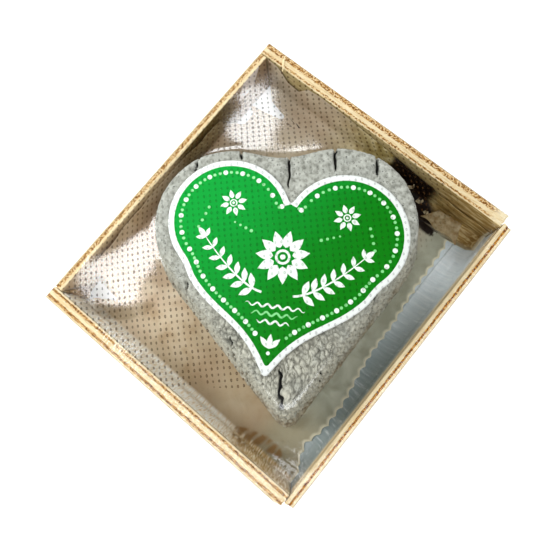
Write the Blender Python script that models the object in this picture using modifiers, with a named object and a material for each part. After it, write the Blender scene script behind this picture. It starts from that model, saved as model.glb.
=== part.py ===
"""Heart-shaped goat cheese with an ash rind, packed in a small plywood tray.

X runs from the left side board to the right one, Y from the front end board to the back one,
Z up. The origin is the centre of the tray's footprint, on the surface it stands on.
"""
import math

import bmesh
import bpy
import numpy as np

MM = 0.001
GAP = 0.3 * MM

# Tray
INNER_LENGTH = 110.0 * MM
END_LENGTH = 103.4 * MM
END_THICKNESS = 4.7 * MM
SIDE_THICKNESS = 3.0 * MM
BOARD_HEIGHT = 20.4 * MM
FLOOR_THICKNESS = 2.0 * MM
BOARD_EDGE_ROUND = 0.25 * MM
RIGHT_BOARD_SHORT_BACK = 2.8 * MM
RIGHT_BOARD_SHORT_FRONT = 1.9 * MM
RIGHT_BOARD_SLANT = 0.7 * MM
CHIP_LENGTH = 3.3 * MM
CHIP_DEPTH = 0.9 * MM

TRAY_WIDTH = END_LENGTH + GAP + SIDE_THICKNESS
TRAY_LENGTH = INNER_LENGTH + 2 * END_THICKNESS
LEFT_FACE = -TRAY_WIDTH / 2 + SIDE_THICKNESS
RIGHT_FACE = TRAY_WIDTH / 2 - SIDE_THICKNESS

# Wrapping paper
PAPER_THICKNESS = 0.3 * MM
PAPER_BEND = 2.5 * MM
PAPER_FRONT_RISE = 15.5 * MM
PAPER_BACK_RISE = 15.0 * MM
PAPER_LEFT = LEFT_FACE + 0.7 * MM
PAPER_RIGHT = 44.5 * MM
PAPER_RIPPLE = 0.9 * MM
SERRATION_PITCH = 6.8 * MM
SERRATION_DEPTH = 1.0 * MM
PAPER_COLUMNS = 22
PAPER_ROWS = 34

# Cheese
CHEESE_CENTRE = (4.2 * MM, -1.1 * MM)
CHEESE_TURN = math.radians(39.5)
CHEESE_ABOVE_RIM = 8.2 * MM
CHEESE_BOTTOM = FLOOR_THICKNESS + GAP + PAPER_THICKNESS + GAP
CHEESE_TOP = BOARD_HEIGHT + CHEESE_ABOVE_RIM
CHEESE_LEAN = 4.8 * MM
TIP_LEAN = 0.8 * MM
SHOULDER_WIDTH = 2.6 * MM
SHOULDER_DROP = 2.8 * MM
FOOT_ROUND = 1.6 * MM
CHEESE_SEGMENTS = 128
PLATEAU_RINGS = 9
SHOULDER_RINGS = 3
SIDE_RINGS = 7
FOOT_RINGS = 3
RIND_LUMP = 0.9 * MM
GROOVE_DEPTH = 1.3 * MM
GROOVE_DEGREES = (46.5, 65, 87, 110, 131, 196, 237, 267.5, 333)
GROOVE_HALF_WIDTH = math.radians(1.1)

# Label
LABEL_CENTRE = (5.3 * MM, -4.9 * MM)
LABEL_TURN = math.radians(30.8)
LABEL_THICKNESS = 0.4 * MM
LABEL_POINTS = 72
LABEL_BOTTOM = CHEESE_TOP + GAP

# Film
FILM_THICKNESS = 0.3 * MM
FILM_INSET = 0.15 * MM
FILM_COLUMNS = 33
FILM_ROWS = 36
FILM_MARGIN = 2.3 * MM
LABEL_MARGIN = 2.9 * MM
FILM_SLOPE = 1.3
FILM_PASSES = 900
FILM_RIM_LEVEL = BOARD_HEIGHT + GAP + FILM_THICKNESS / 2
FILM_TOP_LEVEL = LABEL_BOTTOM + LABEL_THICKNESS + GAP + FILM_THICKNESS / 2


def blend_lower(first, second, width):
    """The lower of two values, with a soft change from one to the other."""
    share = np.clip(0.5 + 0.5 * (second - first) / width, 0, 1)
    return second * (1 - share) + first * share - width * share * (1 - share)


class Heart:
    """A heart outline: two lobe circles whose long flanks meet in a rounded tip."""

    def __init__(self, centre, turn, lobe_x, lobe_y, lobe_radius, tip_y, tip_radius,
                 notch_fill, sway):
        self.centre = centre
        self.turn = turn
        self.lobe_x = lobe_x
        self.lobe_y = lobe_y
        self.lobe_radius = lobe_radius
        self.notch_fill = notch_fill
        self.sway = sway
        self.length = math.hypot(lobe_x, tip_y - lobe_y)
        self.axis = (-lobe_x / self.length, (tip_y - lobe_y) / self.length)
        self.taper = (lobe_radius - tip_radius) / self.length
        self.upright = math.sqrt(1 - self.taper * self.taper)
        steepness = -self.axis[0] * self.upright - self.axis[1] * self.taper
        self.tip_fill = 4 * tip_radius * (1 - steepness)

    def side_distance(self, x, y):
        """Signed distance to the right side: its lobe circle and its long flank."""
        from_x = x - self.lobe_x
        from_y = y - self.lobe_y
        along = from_x * self.axis[0] + from_y * self.axis[1]
        outwards = from_y * self.axis[0] - from_x * self.axis[1]
        nearest = along - outwards * self.taper / self.upright
        share = np.clip(nearest / self.length, 0, 1)
        wave = np.sin(2 * math.pi * share) * np.minimum(1, 6 * share)
        circle = np.hypot(from_x, from_y) - self.lobe_radius
        flank = outwards * self.upright + along * self.taper - self.lobe_radius
        on_flank = (along > 0) & (nearest > 0)
        return np.where(on_flank, flank - self.sway * wave, circle)

    def distance(self, x, y):
        """Signed distance to the outline in the heart's own axes, negative inside."""
        near = self.side_distance(np.abs(x), y)
        far_flank = self.side_distance(-np.abs(x), y)
        far_lobe = np.hypot(np.abs(x) + self.lobe_x, y - self.lobe_y) - self.lobe_radius
        notch = blend_lower(near, far_lobe, self.notch_fill)
        tip = -blend_lower(-near, -far_flank, self.tip_fill)
        return np.where(y > self.lobe_y, notch, tip)

    def radius(self, angle, inset):
        """Distance from the centre to the outline moved inwards by inset."""
        low = np.zeros_like(angle)
        high = np.full_like(angle, 3 * self.lobe_radius)
        for _ in range(36):
            middle = (low + high) / 2
            inside = self.distance(middle * np.cos(angle), middle * np.sin(angle)) < -inset
            low = np.where(inside, middle, low)
            high = np.where(inside, high, middle)
        return (low + high) / 2

    def to_tray(self, x, y):
        cos_turn = math.cos(self.turn)
        sin_turn = math.sin(self.turn)
        return (self.centre[0] + x * cos_turn - y * sin_turn,
                self.centre[1] + x * sin_turn + y * cos_turn)

    def from_tray(self, x, y):
        cos_turn = math.cos(self.turn)
        sin_turn = math.sin(self.turn)
        from_x = x - self.centre[0]
        from_y = y - self.centre[1]
        return from_x * cos_turn + from_y * sin_turn, from_y * cos_turn - from_x * sin_turn


CHEESE = Heart(CHEESE_CENTRE, CHEESE_TURN, lobe_x=17.9 * MM, lobe_y=14.8 * MM,
               lobe_radius=30.1 * MM, tip_y=-48.0 * MM, tip_radius=4.9 * MM,
               notch_fill=14.0 * MM, sway=0)
LABEL = Heart(LABEL_CENTRE, LABEL_TURN, lobe_x=18.9 * MM, lobe_y=16.3 * MM,
              lobe_radius=20.1 * MM, tip_y=-29.8 * MM, tip_radius=1.2 * MM,
              notch_fill=2.0 * MM, sway=1.5 * MM)


def smooth_step(value, start, end):
    t = np.clip((value - start) / (end - start), 0, 1)
    return t * t * (3 - 2 * t)


def make_material(name, colour, roughness, alpha=1.0):
    material = bpy.data.materials.new(name)
    material.use_nodes = True
    shader = material.node_tree.nodes["Principled BSDF"]
    shader.inputs["Base Color"].default_value = (*colour, 1.0)
    shader.inputs["Roughness"].default_value = roughness
    shader.inputs["Metallic"].default_value = 0.0
    shader.inputs["Alpha"].default_value = alpha
    return material


def add_object(name, mesh, material, collection):
    mesh.materials.clear()
    mesh.materials.append(material)
    thing = bpy.data.objects.new(name, mesh)
    collection.objects.link(thing)
    return thing


def mesh_from(bm, name):
    mesh = bpy.data.meshes.new(name)
    bm.to_mesh(mesh)
    bm.free()
    return mesh


def add_board(name, low, high, material, collection, reshape=None):
    """A sawn board between two opposite corners, its edges slightly worn."""
    bm = bmesh.new()
    bmesh.ops.create_cube(bm, size=1.0)
    for vertex in bm.verts:
        place = [low[i] + (high[i] - low[i]) * (vertex.co[i] + 0.5) for i in range(3)]
        vertex.co = reshape(place) if reshape else place
    board = add_object(name, mesh_from(bm, name), material, collection)
    worn = board.modifiers.new("worn_edges", "BEVEL")
    worn.width = BOARD_EDGE_ROUND
    worn.segments = 1
    return board


def slant_ends(place):
    """The right board's saw cuts run back towards its outer face."""
    x, y, z = place
    if x > RIGHT_FACE + SIDE_THICKNESS / 2:
        y -= math.copysign(RIGHT_BOARD_SLANT, y)
    return x, y, z


def chip_front_corner(board):
    """The front board's outer corner at the right is broken off along its height."""
    bm = bmesh.new()
    bm.from_mesh(board.data)
    corner_x = RIGHT_FACE - GAP
    corner_y = -TRAY_LENGTH / 2
    plane_point = (corner_x, corner_y + CHIP_DEPTH, 0)
    plane_normal = (CHIP_DEPTH, -CHIP_LENGTH, 0)
    everything = bm.verts[:] + bm.edges[:] + bm.faces[:]
    bmesh.ops.bisect_plane(bm, geom=everything, plane_co=plane_point, plane_no=plane_normal,
                           clear_outer=True, dist=1e-6)
    open_edges = [edge for edge in bm.edges if edge.is_boundary]
    bmesh.ops.holes_fill(bm, edges=open_edges, sides=0)
    bm.to_mesh(board.data)
    bm.free()


def make_tray(collection):
    birch = make_material("birch_plywood", (0.80, 0.64, 0.42), 0.7)
    lining = make_material("pale_floor", (0.78, 0.82, 0.85), 0.45)
    left = -TRAY_WIDTH / 2
    right = TRAY_WIDTH / 2
    half_inner = INNER_LENGTH / 2
    half_outer = TRAY_LENGTH / 2
    end_right = RIGHT_FACE - GAP

    front = add_board("end_board_front", (left, -half_outer, 0),
                      (end_right, -half_inner, BOARD_HEIGHT), birch, collection)
    chip_front_corner(front)
    add_board("end_board_back", (left, half_inner, 0),
              (end_right, half_outer, BOARD_HEIGHT), birch, collection)
    add_board("side_board_left", (left, -half_inner + GAP, 0),
              (LEFT_FACE, half_inner - GAP, BOARD_HEIGHT), birch, collection)
    add_board("side_board_right", (RIGHT_FACE, -half_outer + RIGHT_BOARD_SHORT_FRONT, 0),
              (right, half_outer - RIGHT_BOARD_SHORT_BACK, BOARD_HEIGHT), birch, collection,
              slant_ends)
    add_board("floor_board", (LEFT_FACE + GAP, -half_inner + GAP, 0),
              (RIGHT_FACE - GAP, half_inner - GAP, FLOOR_THICKNESS), lining, collection)


def paper_right_edge(along):
    """The knife-cut edge beside the right board: it drifts, with small round teeth."""
    teeth = np.abs(np.sin(np.pi * along / SERRATION_PITCH))
    drift = 1.6 * MM * math.sin(along / (17 * MM) - 0.6) - 2.0 * MM * along / INNER_LENGTH
    return PAPER_RIGHT + drift - SERRATION_DEPTH * teeth


def paper_left_edge(y, rise):
    """The left edge keeps near the board, and is pulled in where a corner is turned up."""
    back_pull = 13.0 * MM * smooth_step(y, 32 * MM, 45 * MM)
    back_pull *= 1 - 0.75 * smooth_step(rise, 0, PAPER_BACK_RISE)
    front_pull = 6.5 * MM * smooth_step(-y, 43 * MM, 53 * MM)
    front_pull *= 1 - 0.5 * smooth_step(rise, 0, PAPER_FRONT_RISE)
    return PAPER_LEFT + back_pull + front_pull


def paper_section(along):
    """Fold the sheet's length: up the front board, along the floor, up the back board."""
    level = FLOOR_THICKNESS + GAP + PAPER_THICKNESS / 2
    wall = INNER_LENGTH / 2 - GAP - PAPER_THICKNESS / 2
    flat = wall - PAPER_BEND
    quarter = PAPER_BEND * math.pi / 2
    side = math.copysign(1.0, along)
    past = abs(along) - flat
    if past <= 0:
        return along, level, 0.0
    if past < quarter:
        turn = past / PAPER_BEND
        return (side * (flat + PAPER_BEND * math.sin(turn)),
                level + PAPER_BEND * (1 - math.cos(turn)), 0.0)
    rise = past - quarter
    return side * wall, level + PAPER_BEND + rise, rise


def paper_point(across, along):
    """Place one point of the sheet: across from 0 to 1, along in metres from the centre."""
    y, z, rise = paper_section(along)
    left = paper_left_edge(y, rise)
    right = paper_right_edge(along)
    x = left + (right - left) * across
    heart_x, heart_y = CHEESE.from_tray(x, y)
    clear_of_cheese = smooth_step(CHEESE.distance(heart_x, heart_y), 1.5 * MM, 7 * MM)
    ripple = 0.5 + 0.5 * math.sin(x / (4.3 * MM) + 2 * math.sin(y / (9 * MM)))
    lift = PAPER_RIPPLE * ripple * clear_of_cheese
    if rise > 0:
        y -= math.copysign(lift * min(1, rise / (5 * MM)), along)
    else:
        z += lift
    return x, y, z


def make_paper(collection):
    wrapping = make_material("greaseproof_paper", (0.66, 0.55, 0.41), 0.8)
    bend_run = PAPER_BEND * (math.pi / 2 - 1) - GAP - PAPER_THICKNESS / 2
    front_end = -(INNER_LENGTH / 2 + bend_run + PAPER_FRONT_RISE)
    back_end = INNER_LENGTH / 2 + bend_run + PAPER_BACK_RISE
    bm = bmesh.new()
    bmesh.ops.create_grid(bm, x_segments=PAPER_COLUMNS, y_segments=PAPER_ROWS, size=0.5)
    for vertex in bm.verts:
        along = front_end + (back_end - front_end) * (vertex.co.y + 0.5)
        vertex.co = paper_point(vertex.co.x + 0.5, along)
    sheet = add_object("paper_sheet", mesh_from(bm, "paper_sheet"), wrapping, collection)
    thicken(sheet, PAPER_THICKNESS)
    return sheet


def thicken(sheet, thickness):
    """Split a sheet into triangles, then give both of its faces the same ones."""
    split = sheet.modifiers.new("split", "TRIANGULATE")
    split.quad_method = "FIXED"
    body = sheet.modifiers.new("thickness", "SOLIDIFY")
    body.thickness = thickness
    body.offset = 0.0


def cheese_rings():
    """The section from the top's centre to the foot: share of the radius, inset and height."""
    full_inset = CHEESE_LEAN + SHOULDER_WIDTH
    rings = []
    for step in range(1, PLATEAU_RINGS + 1):
        share = (step / PLATEAU_RINGS) ** 0.75
        rings.append((share, full_inset, CHEESE_TOP))
    for step in range(1, SHOULDER_RINGS + 1):
        turn = math.pi / 2 * step / SHOULDER_RINGS
        rings.append((1.0, full_inset - SHOULDER_WIDTH * math.sin(turn),
                      CHEESE_TOP - SHOULDER_DROP * (1 - math.cos(turn))))
    side_top = CHEESE_TOP - SHOULDER_DROP
    side_foot = CHEESE_BOTTOM + FOOT_ROUND
    for step in range(1, SIDE_RINGS + 1):
        down = step / SIDE_RINGS
        rings.append((1.0, CHEESE_LEAN * (1 - down), side_top + (side_foot - side_top) * down))
    for step in range(1, FOOT_RINGS + 1):
        turn = math.pi / 2 * step / FOOT_RINGS
        rings.append((1.0, FOOT_ROUND * (1 - math.cos(turn)),
                      side_foot - FOOT_ROUND * math.sin(turn)))
    rings.append((0.5, FOOT_ROUND, CHEESE_BOTTOM))
    return rings


def cheese_spokes():
    """The angles of the cheese's sections: even, but for three close ones at each groove."""
    spokes = 2 * math.pi * np.arange(CHEESE_SEGMENTS) / CHEESE_SEGMENTS
    depth = np.zeros(CHEESE_SEGMENTS)
    for degrees in GROOVE_DEGREES:
        line = math.radians(degrees)
        middle = round(line / (2 * math.pi) * CHEESE_SEGMENTS)
        spokes[middle - 1:middle + 2] = line + GROOVE_HALF_WIDTH * np.array([-1, 0, 1])
        depth[middle] = GROOVE_DEPTH
    return spokes, depth


def rind_lumps(x, y, z):
    """A soft, seeded relief, from -1 to 0, so that the rind never grows outwards."""
    draw = np.random.default_rng(11)
    total = np.zeros_like(x)
    waves = 9
    for _ in range(waves):
        heading = draw.normal(size=3)
        heading /= np.linalg.norm(heading)
        length = draw.uniform(5.5, 10.0) * MM
        phase = draw.uniform(0, 2 * math.pi)
        path = x * heading[0] + y * heading[1] + z * heading[2]
        total += np.sin(2 * math.pi * path / length + phase)
    return np.clip(total / math.sqrt(2 * waves) - 1, -2, 0) / 2


def make_cheese(collection):
    rind = make_material("ash_rind", (0.62, 0.62, 0.59), 0.9)
    rings = cheese_rings()
    bm = bmesh.new()
    bmesh.ops.create_uvsphere(bm, u_segments=CHEESE_SEGMENTS, v_segments=len(rings) + 1,
                              radius=1.0)
    verts = list(bm.verts)
    unit = np.array([vertex.co[:] for vertex in verts])
    level = np.rint(np.arccos(np.clip(unit[:, 2], -1, 1)) / math.pi * (len(rings) + 1))
    level = level.astype(int)
    spoke = np.rint(np.arctan2(unit[:, 1], unit[:, 0]) / (2 * math.pi) * CHEESE_SEGMENTS)
    spoke = spoke.astype(int) % CHEESE_SEGMENTS
    spokes, depths = cheese_spokes()
    angle = spokes[spoke]
    table = np.array([(0.0, rings[0][1], CHEESE_TOP)] + rings + [(0.0, FOOT_ROUND, CHEESE_BOTTOM)])
    share, inset, height = table[level].T
    rise = (height - CHEESE_BOTTOM) / (CHEESE_TOP - CHEESE_BOTTOM)
    tipward = np.clip(-np.sin(angle), 0, 1) ** 8
    inset = inset + TIP_LEAN * tipward * rise
    outer = height < CHEESE_TOP
    radius = share * CHEESE.radius(angle, inset)
    x, y = CHEESE.to_tray(radius * np.cos(angle), radius * np.sin(angle))
    lump = RIND_LUMP * rind_lumps(x, y, height)
    grooved = depths[spoke] * smooth_step(share, 0.86, 1.0)
    grooved = np.where(height > CHEESE_BOTTOM + FOOT_ROUND, grooved, 0)
    sideways = np.where(outer & (height > CHEESE_BOTTOM), lump - grooved, 0)
    x, y = CHEESE.to_tray((radius + sideways) * np.cos(angle), (radius + sideways) * np.sin(angle))
    z = height + np.where(outer, 0, lump - grooved)
    for vertex, place in zip(verts, np.stack([x, y, z], axis=1)):
        vertex.co = place
    body = add_object("cheese", mesh_from(bm, "cheese"), rind, collection)
    split = body.modifiers.new("split", "TRIANGULATE")
    split.quad_method = "FIXED"
    body.data.shade_smooth()
    return body


def make_label(collection):
    print_green = make_material("label_paper", (0.02, 0.42, 0.03), 0.45)
    outline = bpy.data.curves.new("label", "CURVE")
    outline.dimensions = "2D"
    outline.fill_mode = "BOTH"
    outline.extrude = LABEL_THICKNESS / 2
    spline = outline.splines.new("POLY")
    spline.points.add(LABEL_POINTS - 1)
    angle = np.linspace(0, 2 * math.pi, LABEL_POINTS, endpoint=False) + math.pi / 2
    radius = LABEL.radius(angle, 0)
    for point, turn, reach in zip(spline.points, angle, radius):
        point.co = (reach * math.cos(turn), reach * math.sin(turn), 0, 1)
    spline.use_cyclic_u = True
    outline.materials.append(print_green)
    label = bpy.data.objects.new("label", outline)
    label.location = (*LABEL.centre, LABEL_BOTTOM + LABEL_THICKNESS / 2)
    label.rotation_euler = (0, 0, LABEL.turn)
    collection.objects.link(label)
    return label


def film_lines(cells, half_outer, face_low, face_high):
    """Grid lines across the tray: one on each board's edge, the others evenly between."""
    inner = np.linspace(face_low, face_high, cells - 1)
    return np.concatenate([[-half_outer], inner, [half_outer]])


def film_heights(x_lines, y_lines):
    """Stretch the film between the tray's rim and the cheese that holds it up."""
    x, y = np.meshgrid(x_lines, y_lines, indexing="ij")
    past_cheese = CHEESE.distance(*CHEESE.from_tray(x, y)) + CHEESE_LEAN + SHOULDER_WIDTH
    past_label = LABEL.distance(*LABEL.from_tray(x, y))
    past = np.minimum(past_cheese - FILM_MARGIN, past_label - LABEL_MARGIN)
    held = FILM_TOP_LEVEL - FILM_SLOPE * np.maximum(past, 0)
    level = np.maximum(held, FILM_RIM_LEVEL)
    for _ in range(FILM_PASSES):
        middle = (level[:-2, 1:-1] + level[2:, 1:-1] + level[1:-1, :-2] + level[1:-1, 2:]) / 4
        level[1:-1, 1:-1] = np.maximum(middle, held[1:-1, 1:-1])
        level[:2, :] = FILM_RIM_LEVEL
        level[-2:, :] = FILM_RIM_LEVEL
        level[:, :2] = FILM_RIM_LEVEL
        level[:, -2:] = FILM_RIM_LEVEL
    return level


def make_film(collection):
    clear = make_material("clear_film", (0.95, 0.96, 0.95), 0.12, alpha=0.2)
    x_lines = film_lines(FILM_COLUMNS, TRAY_WIDTH / 2 - FILM_INSET, LEFT_FACE, RIGHT_FACE)
    half_inner = INNER_LENGTH / 2
    y_lines = film_lines(FILM_ROWS, TRAY_LENGTH / 2 - FILM_INSET, -half_inner, half_inner)
    level = film_heights(x_lines, y_lines)
    bm = bmesh.new()
    bmesh.ops.create_grid(bm, x_segments=FILM_COLUMNS, y_segments=FILM_ROWS, size=0.5)
    for vertex in bm.verts:
        column = round((vertex.co.x + 0.5) * FILM_COLUMNS)
        row = round((vertex.co.y + 0.5) * FILM_ROWS)
        vertex.co = (x_lines[column], y_lines[row], level[column, row])
    film = add_object("film", mesh_from(bm, "film"), clear, collection)
    film.data.shade_smooth()
    thicken(film, FILM_THICKNESS)
    return film


def main():
    for thing in list(bpy.data.objects):
        bpy.data.objects.remove(thing, do_unlink=True)
    collection = bpy.data.collections.new("packed_goat_cheese")
    bpy.context.scene.collection.children.link(collection)
    make_tray(collection)
    make_paper(collection)
    make_cheese(collection)
    make_label(collection)
    make_film(collection)


main()
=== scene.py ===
from math import atan2, cos, hypot, pi, radians, sin, sqrt

import bmesh
import bpy
import numpy as np
from mathutils import Matrix
from mathutils.kdtree import KDTree


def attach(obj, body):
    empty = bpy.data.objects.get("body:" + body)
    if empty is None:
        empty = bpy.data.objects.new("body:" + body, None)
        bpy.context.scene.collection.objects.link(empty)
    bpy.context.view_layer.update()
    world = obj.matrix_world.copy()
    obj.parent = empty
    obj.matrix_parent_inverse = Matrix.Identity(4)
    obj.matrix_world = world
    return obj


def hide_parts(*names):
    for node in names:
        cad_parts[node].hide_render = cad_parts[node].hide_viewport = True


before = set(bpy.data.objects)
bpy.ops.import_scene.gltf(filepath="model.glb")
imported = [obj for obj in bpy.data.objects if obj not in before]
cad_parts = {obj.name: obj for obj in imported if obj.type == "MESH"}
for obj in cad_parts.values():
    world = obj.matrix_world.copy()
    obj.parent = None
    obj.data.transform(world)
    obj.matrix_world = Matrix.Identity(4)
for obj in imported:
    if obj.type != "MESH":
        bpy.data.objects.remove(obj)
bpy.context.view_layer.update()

# Shapes are drawn in millimetres, and meshes are scaled to metres by MM
MM = 0.001

# Tray
HALF_WIDTH = 53.35
HALF_LENGTH = 59.7
HALF_INNER = 55.0
LEFT_FACE = -50.35
RIGHT_FACE = 50.35
END_RIGHT = 50.05
RIM = 20.4
FLOOR_TOP = 2.0
JOINT_GAP = 0.3
RIGHT_FRONT_END = -57.8
RIGHT_BACK_END = 56.9
RIGHT_SLANT = 0.7
CHIP_LENGTH = 3.3
CHIP_DEPTH = 0.9
BOARD_STEP = 0.6
EDGE_WEAR = 0.16
TINY = 1e-3

LINING_BEND = 7.0
LINING_TOP = 19.2

# Cheese
CHEESE_BOTTOM = 2.9
CHEESE_TOP = 28.6
CHEESE_LEAN = 4.8
TIP_LEAN = 0.8
SHOULDER_WIDTH = 2.6
SHOULDER_DROP = 2.8
FOOT_ROUND = 1.6
CHEESE_SPOKES = 960
PLATEAU_RINGS = (6, 34)
SHOULDER_RINGS = 9
SIDE_RINGS = 48
FOOT_RINGS = 4

# Label
LABEL_LEVEL = 28.98
LABEL_THICKNESS = 0.14
BORDER_WIDTH = 1.9
LABEL_SPOKES = 360
PRINT_LIFT = 0.03
DOTS_INSET = 4.1

# Paper
PAPER_LEVEL = 2.45
PAPER_BEND = 2.5
PAPER_COLUMNS = 175
PAPER_ROWS = 190
PAPER_THICKNESS = 0.08

# Film
FILM_RIM = 20.62
FILM_TOP = 29.45
FILM_HALF_WIDTH = 53.28
FILM_HALF_LENGTH = 59.63
FILM_MARGIN = 2.3
LABEL_MARGIN = 2.9
FILM_SLOPE = 1.3
FILM_CELL = 1.0
FILM_PASSES = 3500
SLOPE_REACH = 0.3
HOLE_PITCH = 1.98
HOLE_RADIUS = 0.13
HOLE_SIDES = 8
BEAD_RADIUS = 0.39
BEAD_LIFT = 0.07
FILM_EDGE = 0.3
FILM_ROUGHNESS = 0.15
FILM_TINT = (253.3, 253.9, 253.3)
FACING_GLOSS = 0.08
GRAZING_GLOSS = 0.9
CLEAR, BEAD, CUT_EDGE, THIN_BEAD, FAINT_BEAD = range(5)
THIN_FROM_X = 28
FAINT_FROM_X = 35
TIP_FROM_Y = -38


def srgb(red, green, blue):
    """A colour read as 0 to 255 values, turned into the linear numbers that shaders take."""
    shares = np.array([red, green, blue]) / 255
    low = shares / 12.92
    high = ((shares + 0.055) / 1.055) ** 2.4
    return tuple(float(c) for c in np.where(shares <= 0.04045, low, high))


def smooth_step(value, start, end):
    t = np.clip((value - start) / (end - start), 0, 1)
    return t * t * (3 - 2 * t)


def hump(value, rise, fall):
    """1 in a band of values, with a smooth rise and fall at its sides."""
    return smooth_step(value, *rise) * (1 - smooth_step(value, *fall))


def random_waves(points, wavelength, count, seed):
    """A smooth random field over points, with about unit spread."""
    draw = np.random.default_rng(seed)
    total = np.zeros(len(points))
    for _ in range(count):
        heading = draw.normal(size=3)
        heading *= 2 * pi / (np.linalg.norm(heading) * wavelength * draw.uniform(0.8, 1.2))
        total += np.cos(points @ heading + draw.uniform(0, 2 * pi))
    return total * sqrt(2 / count)


def points_from(*coordinates):
    """Points from three coordinates, each an array or a single number."""
    return np.stack([part.ravel() for part in np.broadcast_arrays(*coordinates)], axis=1)


def blend_lower(first, second, width):
    """The lower of two values, with a soft change from one to the other."""
    share = np.clip(0.5 + 0.5 * (second - first) / width, 0, 1)
    return second * (1 - share) + first * share - width * share * (1 - share)


class Heart:
    """A heart outline: two lobe circles whose long flanks meet in a rounded tip."""

    def __init__(self, centre, turn, lobe_x, lobe_y, lobe_radius, tip_y, tip_radius, notch_fill, sway):
        self.centre = centre
        self.cos_turn = cos(turn)
        self.sin_turn = sin(turn)
        self.lobe_x = lobe_x
        self.lobe_y = lobe_y
        self.lobe_radius = lobe_radius
        self.notch_fill = notch_fill
        self.sway = sway
        self.length = hypot(lobe_x, tip_y - lobe_y)
        self.axis = (-lobe_x / self.length, (tip_y - lobe_y) / self.length)
        self.taper = (lobe_radius - tip_radius) / self.length
        self.upright = sqrt(1 - self.taper * self.taper)
        steepness = -self.axis[0] * self.upright - self.axis[1] * self.taper
        self.tip_fill = 4 * tip_radius * (1 - steepness)

    def side_distance(self, x, y):
        from_x = x - self.lobe_x
        from_y = y - self.lobe_y
        along = from_x * self.axis[0] + from_y * self.axis[1]
        outwards = from_y * self.axis[0] - from_x * self.axis[1]
        nearest = along - outwards * self.taper / self.upright
        share = np.clip(nearest / self.length, 0, 1)
        wave = np.sin(2 * pi * share) * np.minimum(1, 6 * share)
        circle = np.hypot(from_x, from_y) - self.lobe_radius
        flank = outwards * self.upright + along * self.taper - self.lobe_radius
        on_flank = (along > 0) & (nearest > 0)
        return np.where(on_flank, flank - self.sway * wave, circle)

    def distance(self, x, y):
        """Signed distance to the outline in the heart's own axes, negative inside."""
        near = self.side_distance(np.abs(x), y)
        far_flank = self.side_distance(-np.abs(x), y)
        far_lobe = np.hypot(np.abs(x) + self.lobe_x, y - self.lobe_y) - self.lobe_radius
        notch = blend_lower(near, far_lobe, self.notch_fill)
        tip = -blend_lower(-near, -far_flank, self.tip_fill)
        return np.where(y > self.lobe_y, notch, tip)

    def radius(self, angle, inset):
        """Distance from the centre to the outline moved inwards by inset."""
        low = np.zeros_like(angle)
        high = np.full_like(angle, 3 * self.lobe_radius)
        for _ in range(30):
            middle = (low + high) / 2
            inside = self.distance(middle * np.cos(angle), middle * np.sin(angle)) < -inset
            low = np.where(inside, middle, low)
            high = np.where(inside, high, middle)
        return (low + high) / 2

    def even_angles(self, count, start=0.0):
        """Angles whose points are evenly spaced along the outline."""
        fine = np.linspace(0, 2 * pi, 4001) + start
        reach = self.radius(fine, 0)
        x = reach * np.cos(fine)
        y = reach * np.sin(fine)
        run = np.concatenate([[0], np.cumsum(np.hypot(np.diff(x), np.diff(y)))])
        return np.interp(np.linspace(0, run[-1], count, endpoint=False), run, fine)

    def to_tray(self, x, y):
        return (self.centre[0] + x * self.cos_turn - y * self.sin_turn,
                self.centre[1] + x * self.sin_turn + y * self.cos_turn)

    def from_tray(self, x, y):
        from_x = x - self.centre[0]
        from_y = y - self.centre[1]
        return (from_x * self.cos_turn + from_y * self.sin_turn,
                from_y * self.cos_turn - from_x * self.sin_turn)


CHEESE = Heart((4.2, -1.1), radians(39.5), lobe_x=17.9, lobe_y=14.8, lobe_radius=30.1, tip_y=-48.0,
               tip_radius=4.9, notch_fill=14.0, sway=0)
LABEL = Heart((5.3, -4.9), radians(30.8), lobe_x=18.9, lobe_y=16.3, lobe_radius=20.1, tip_y=-29.8,
              tip_radius=1.2, notch_fill=2.0, sway=1.5)


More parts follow.
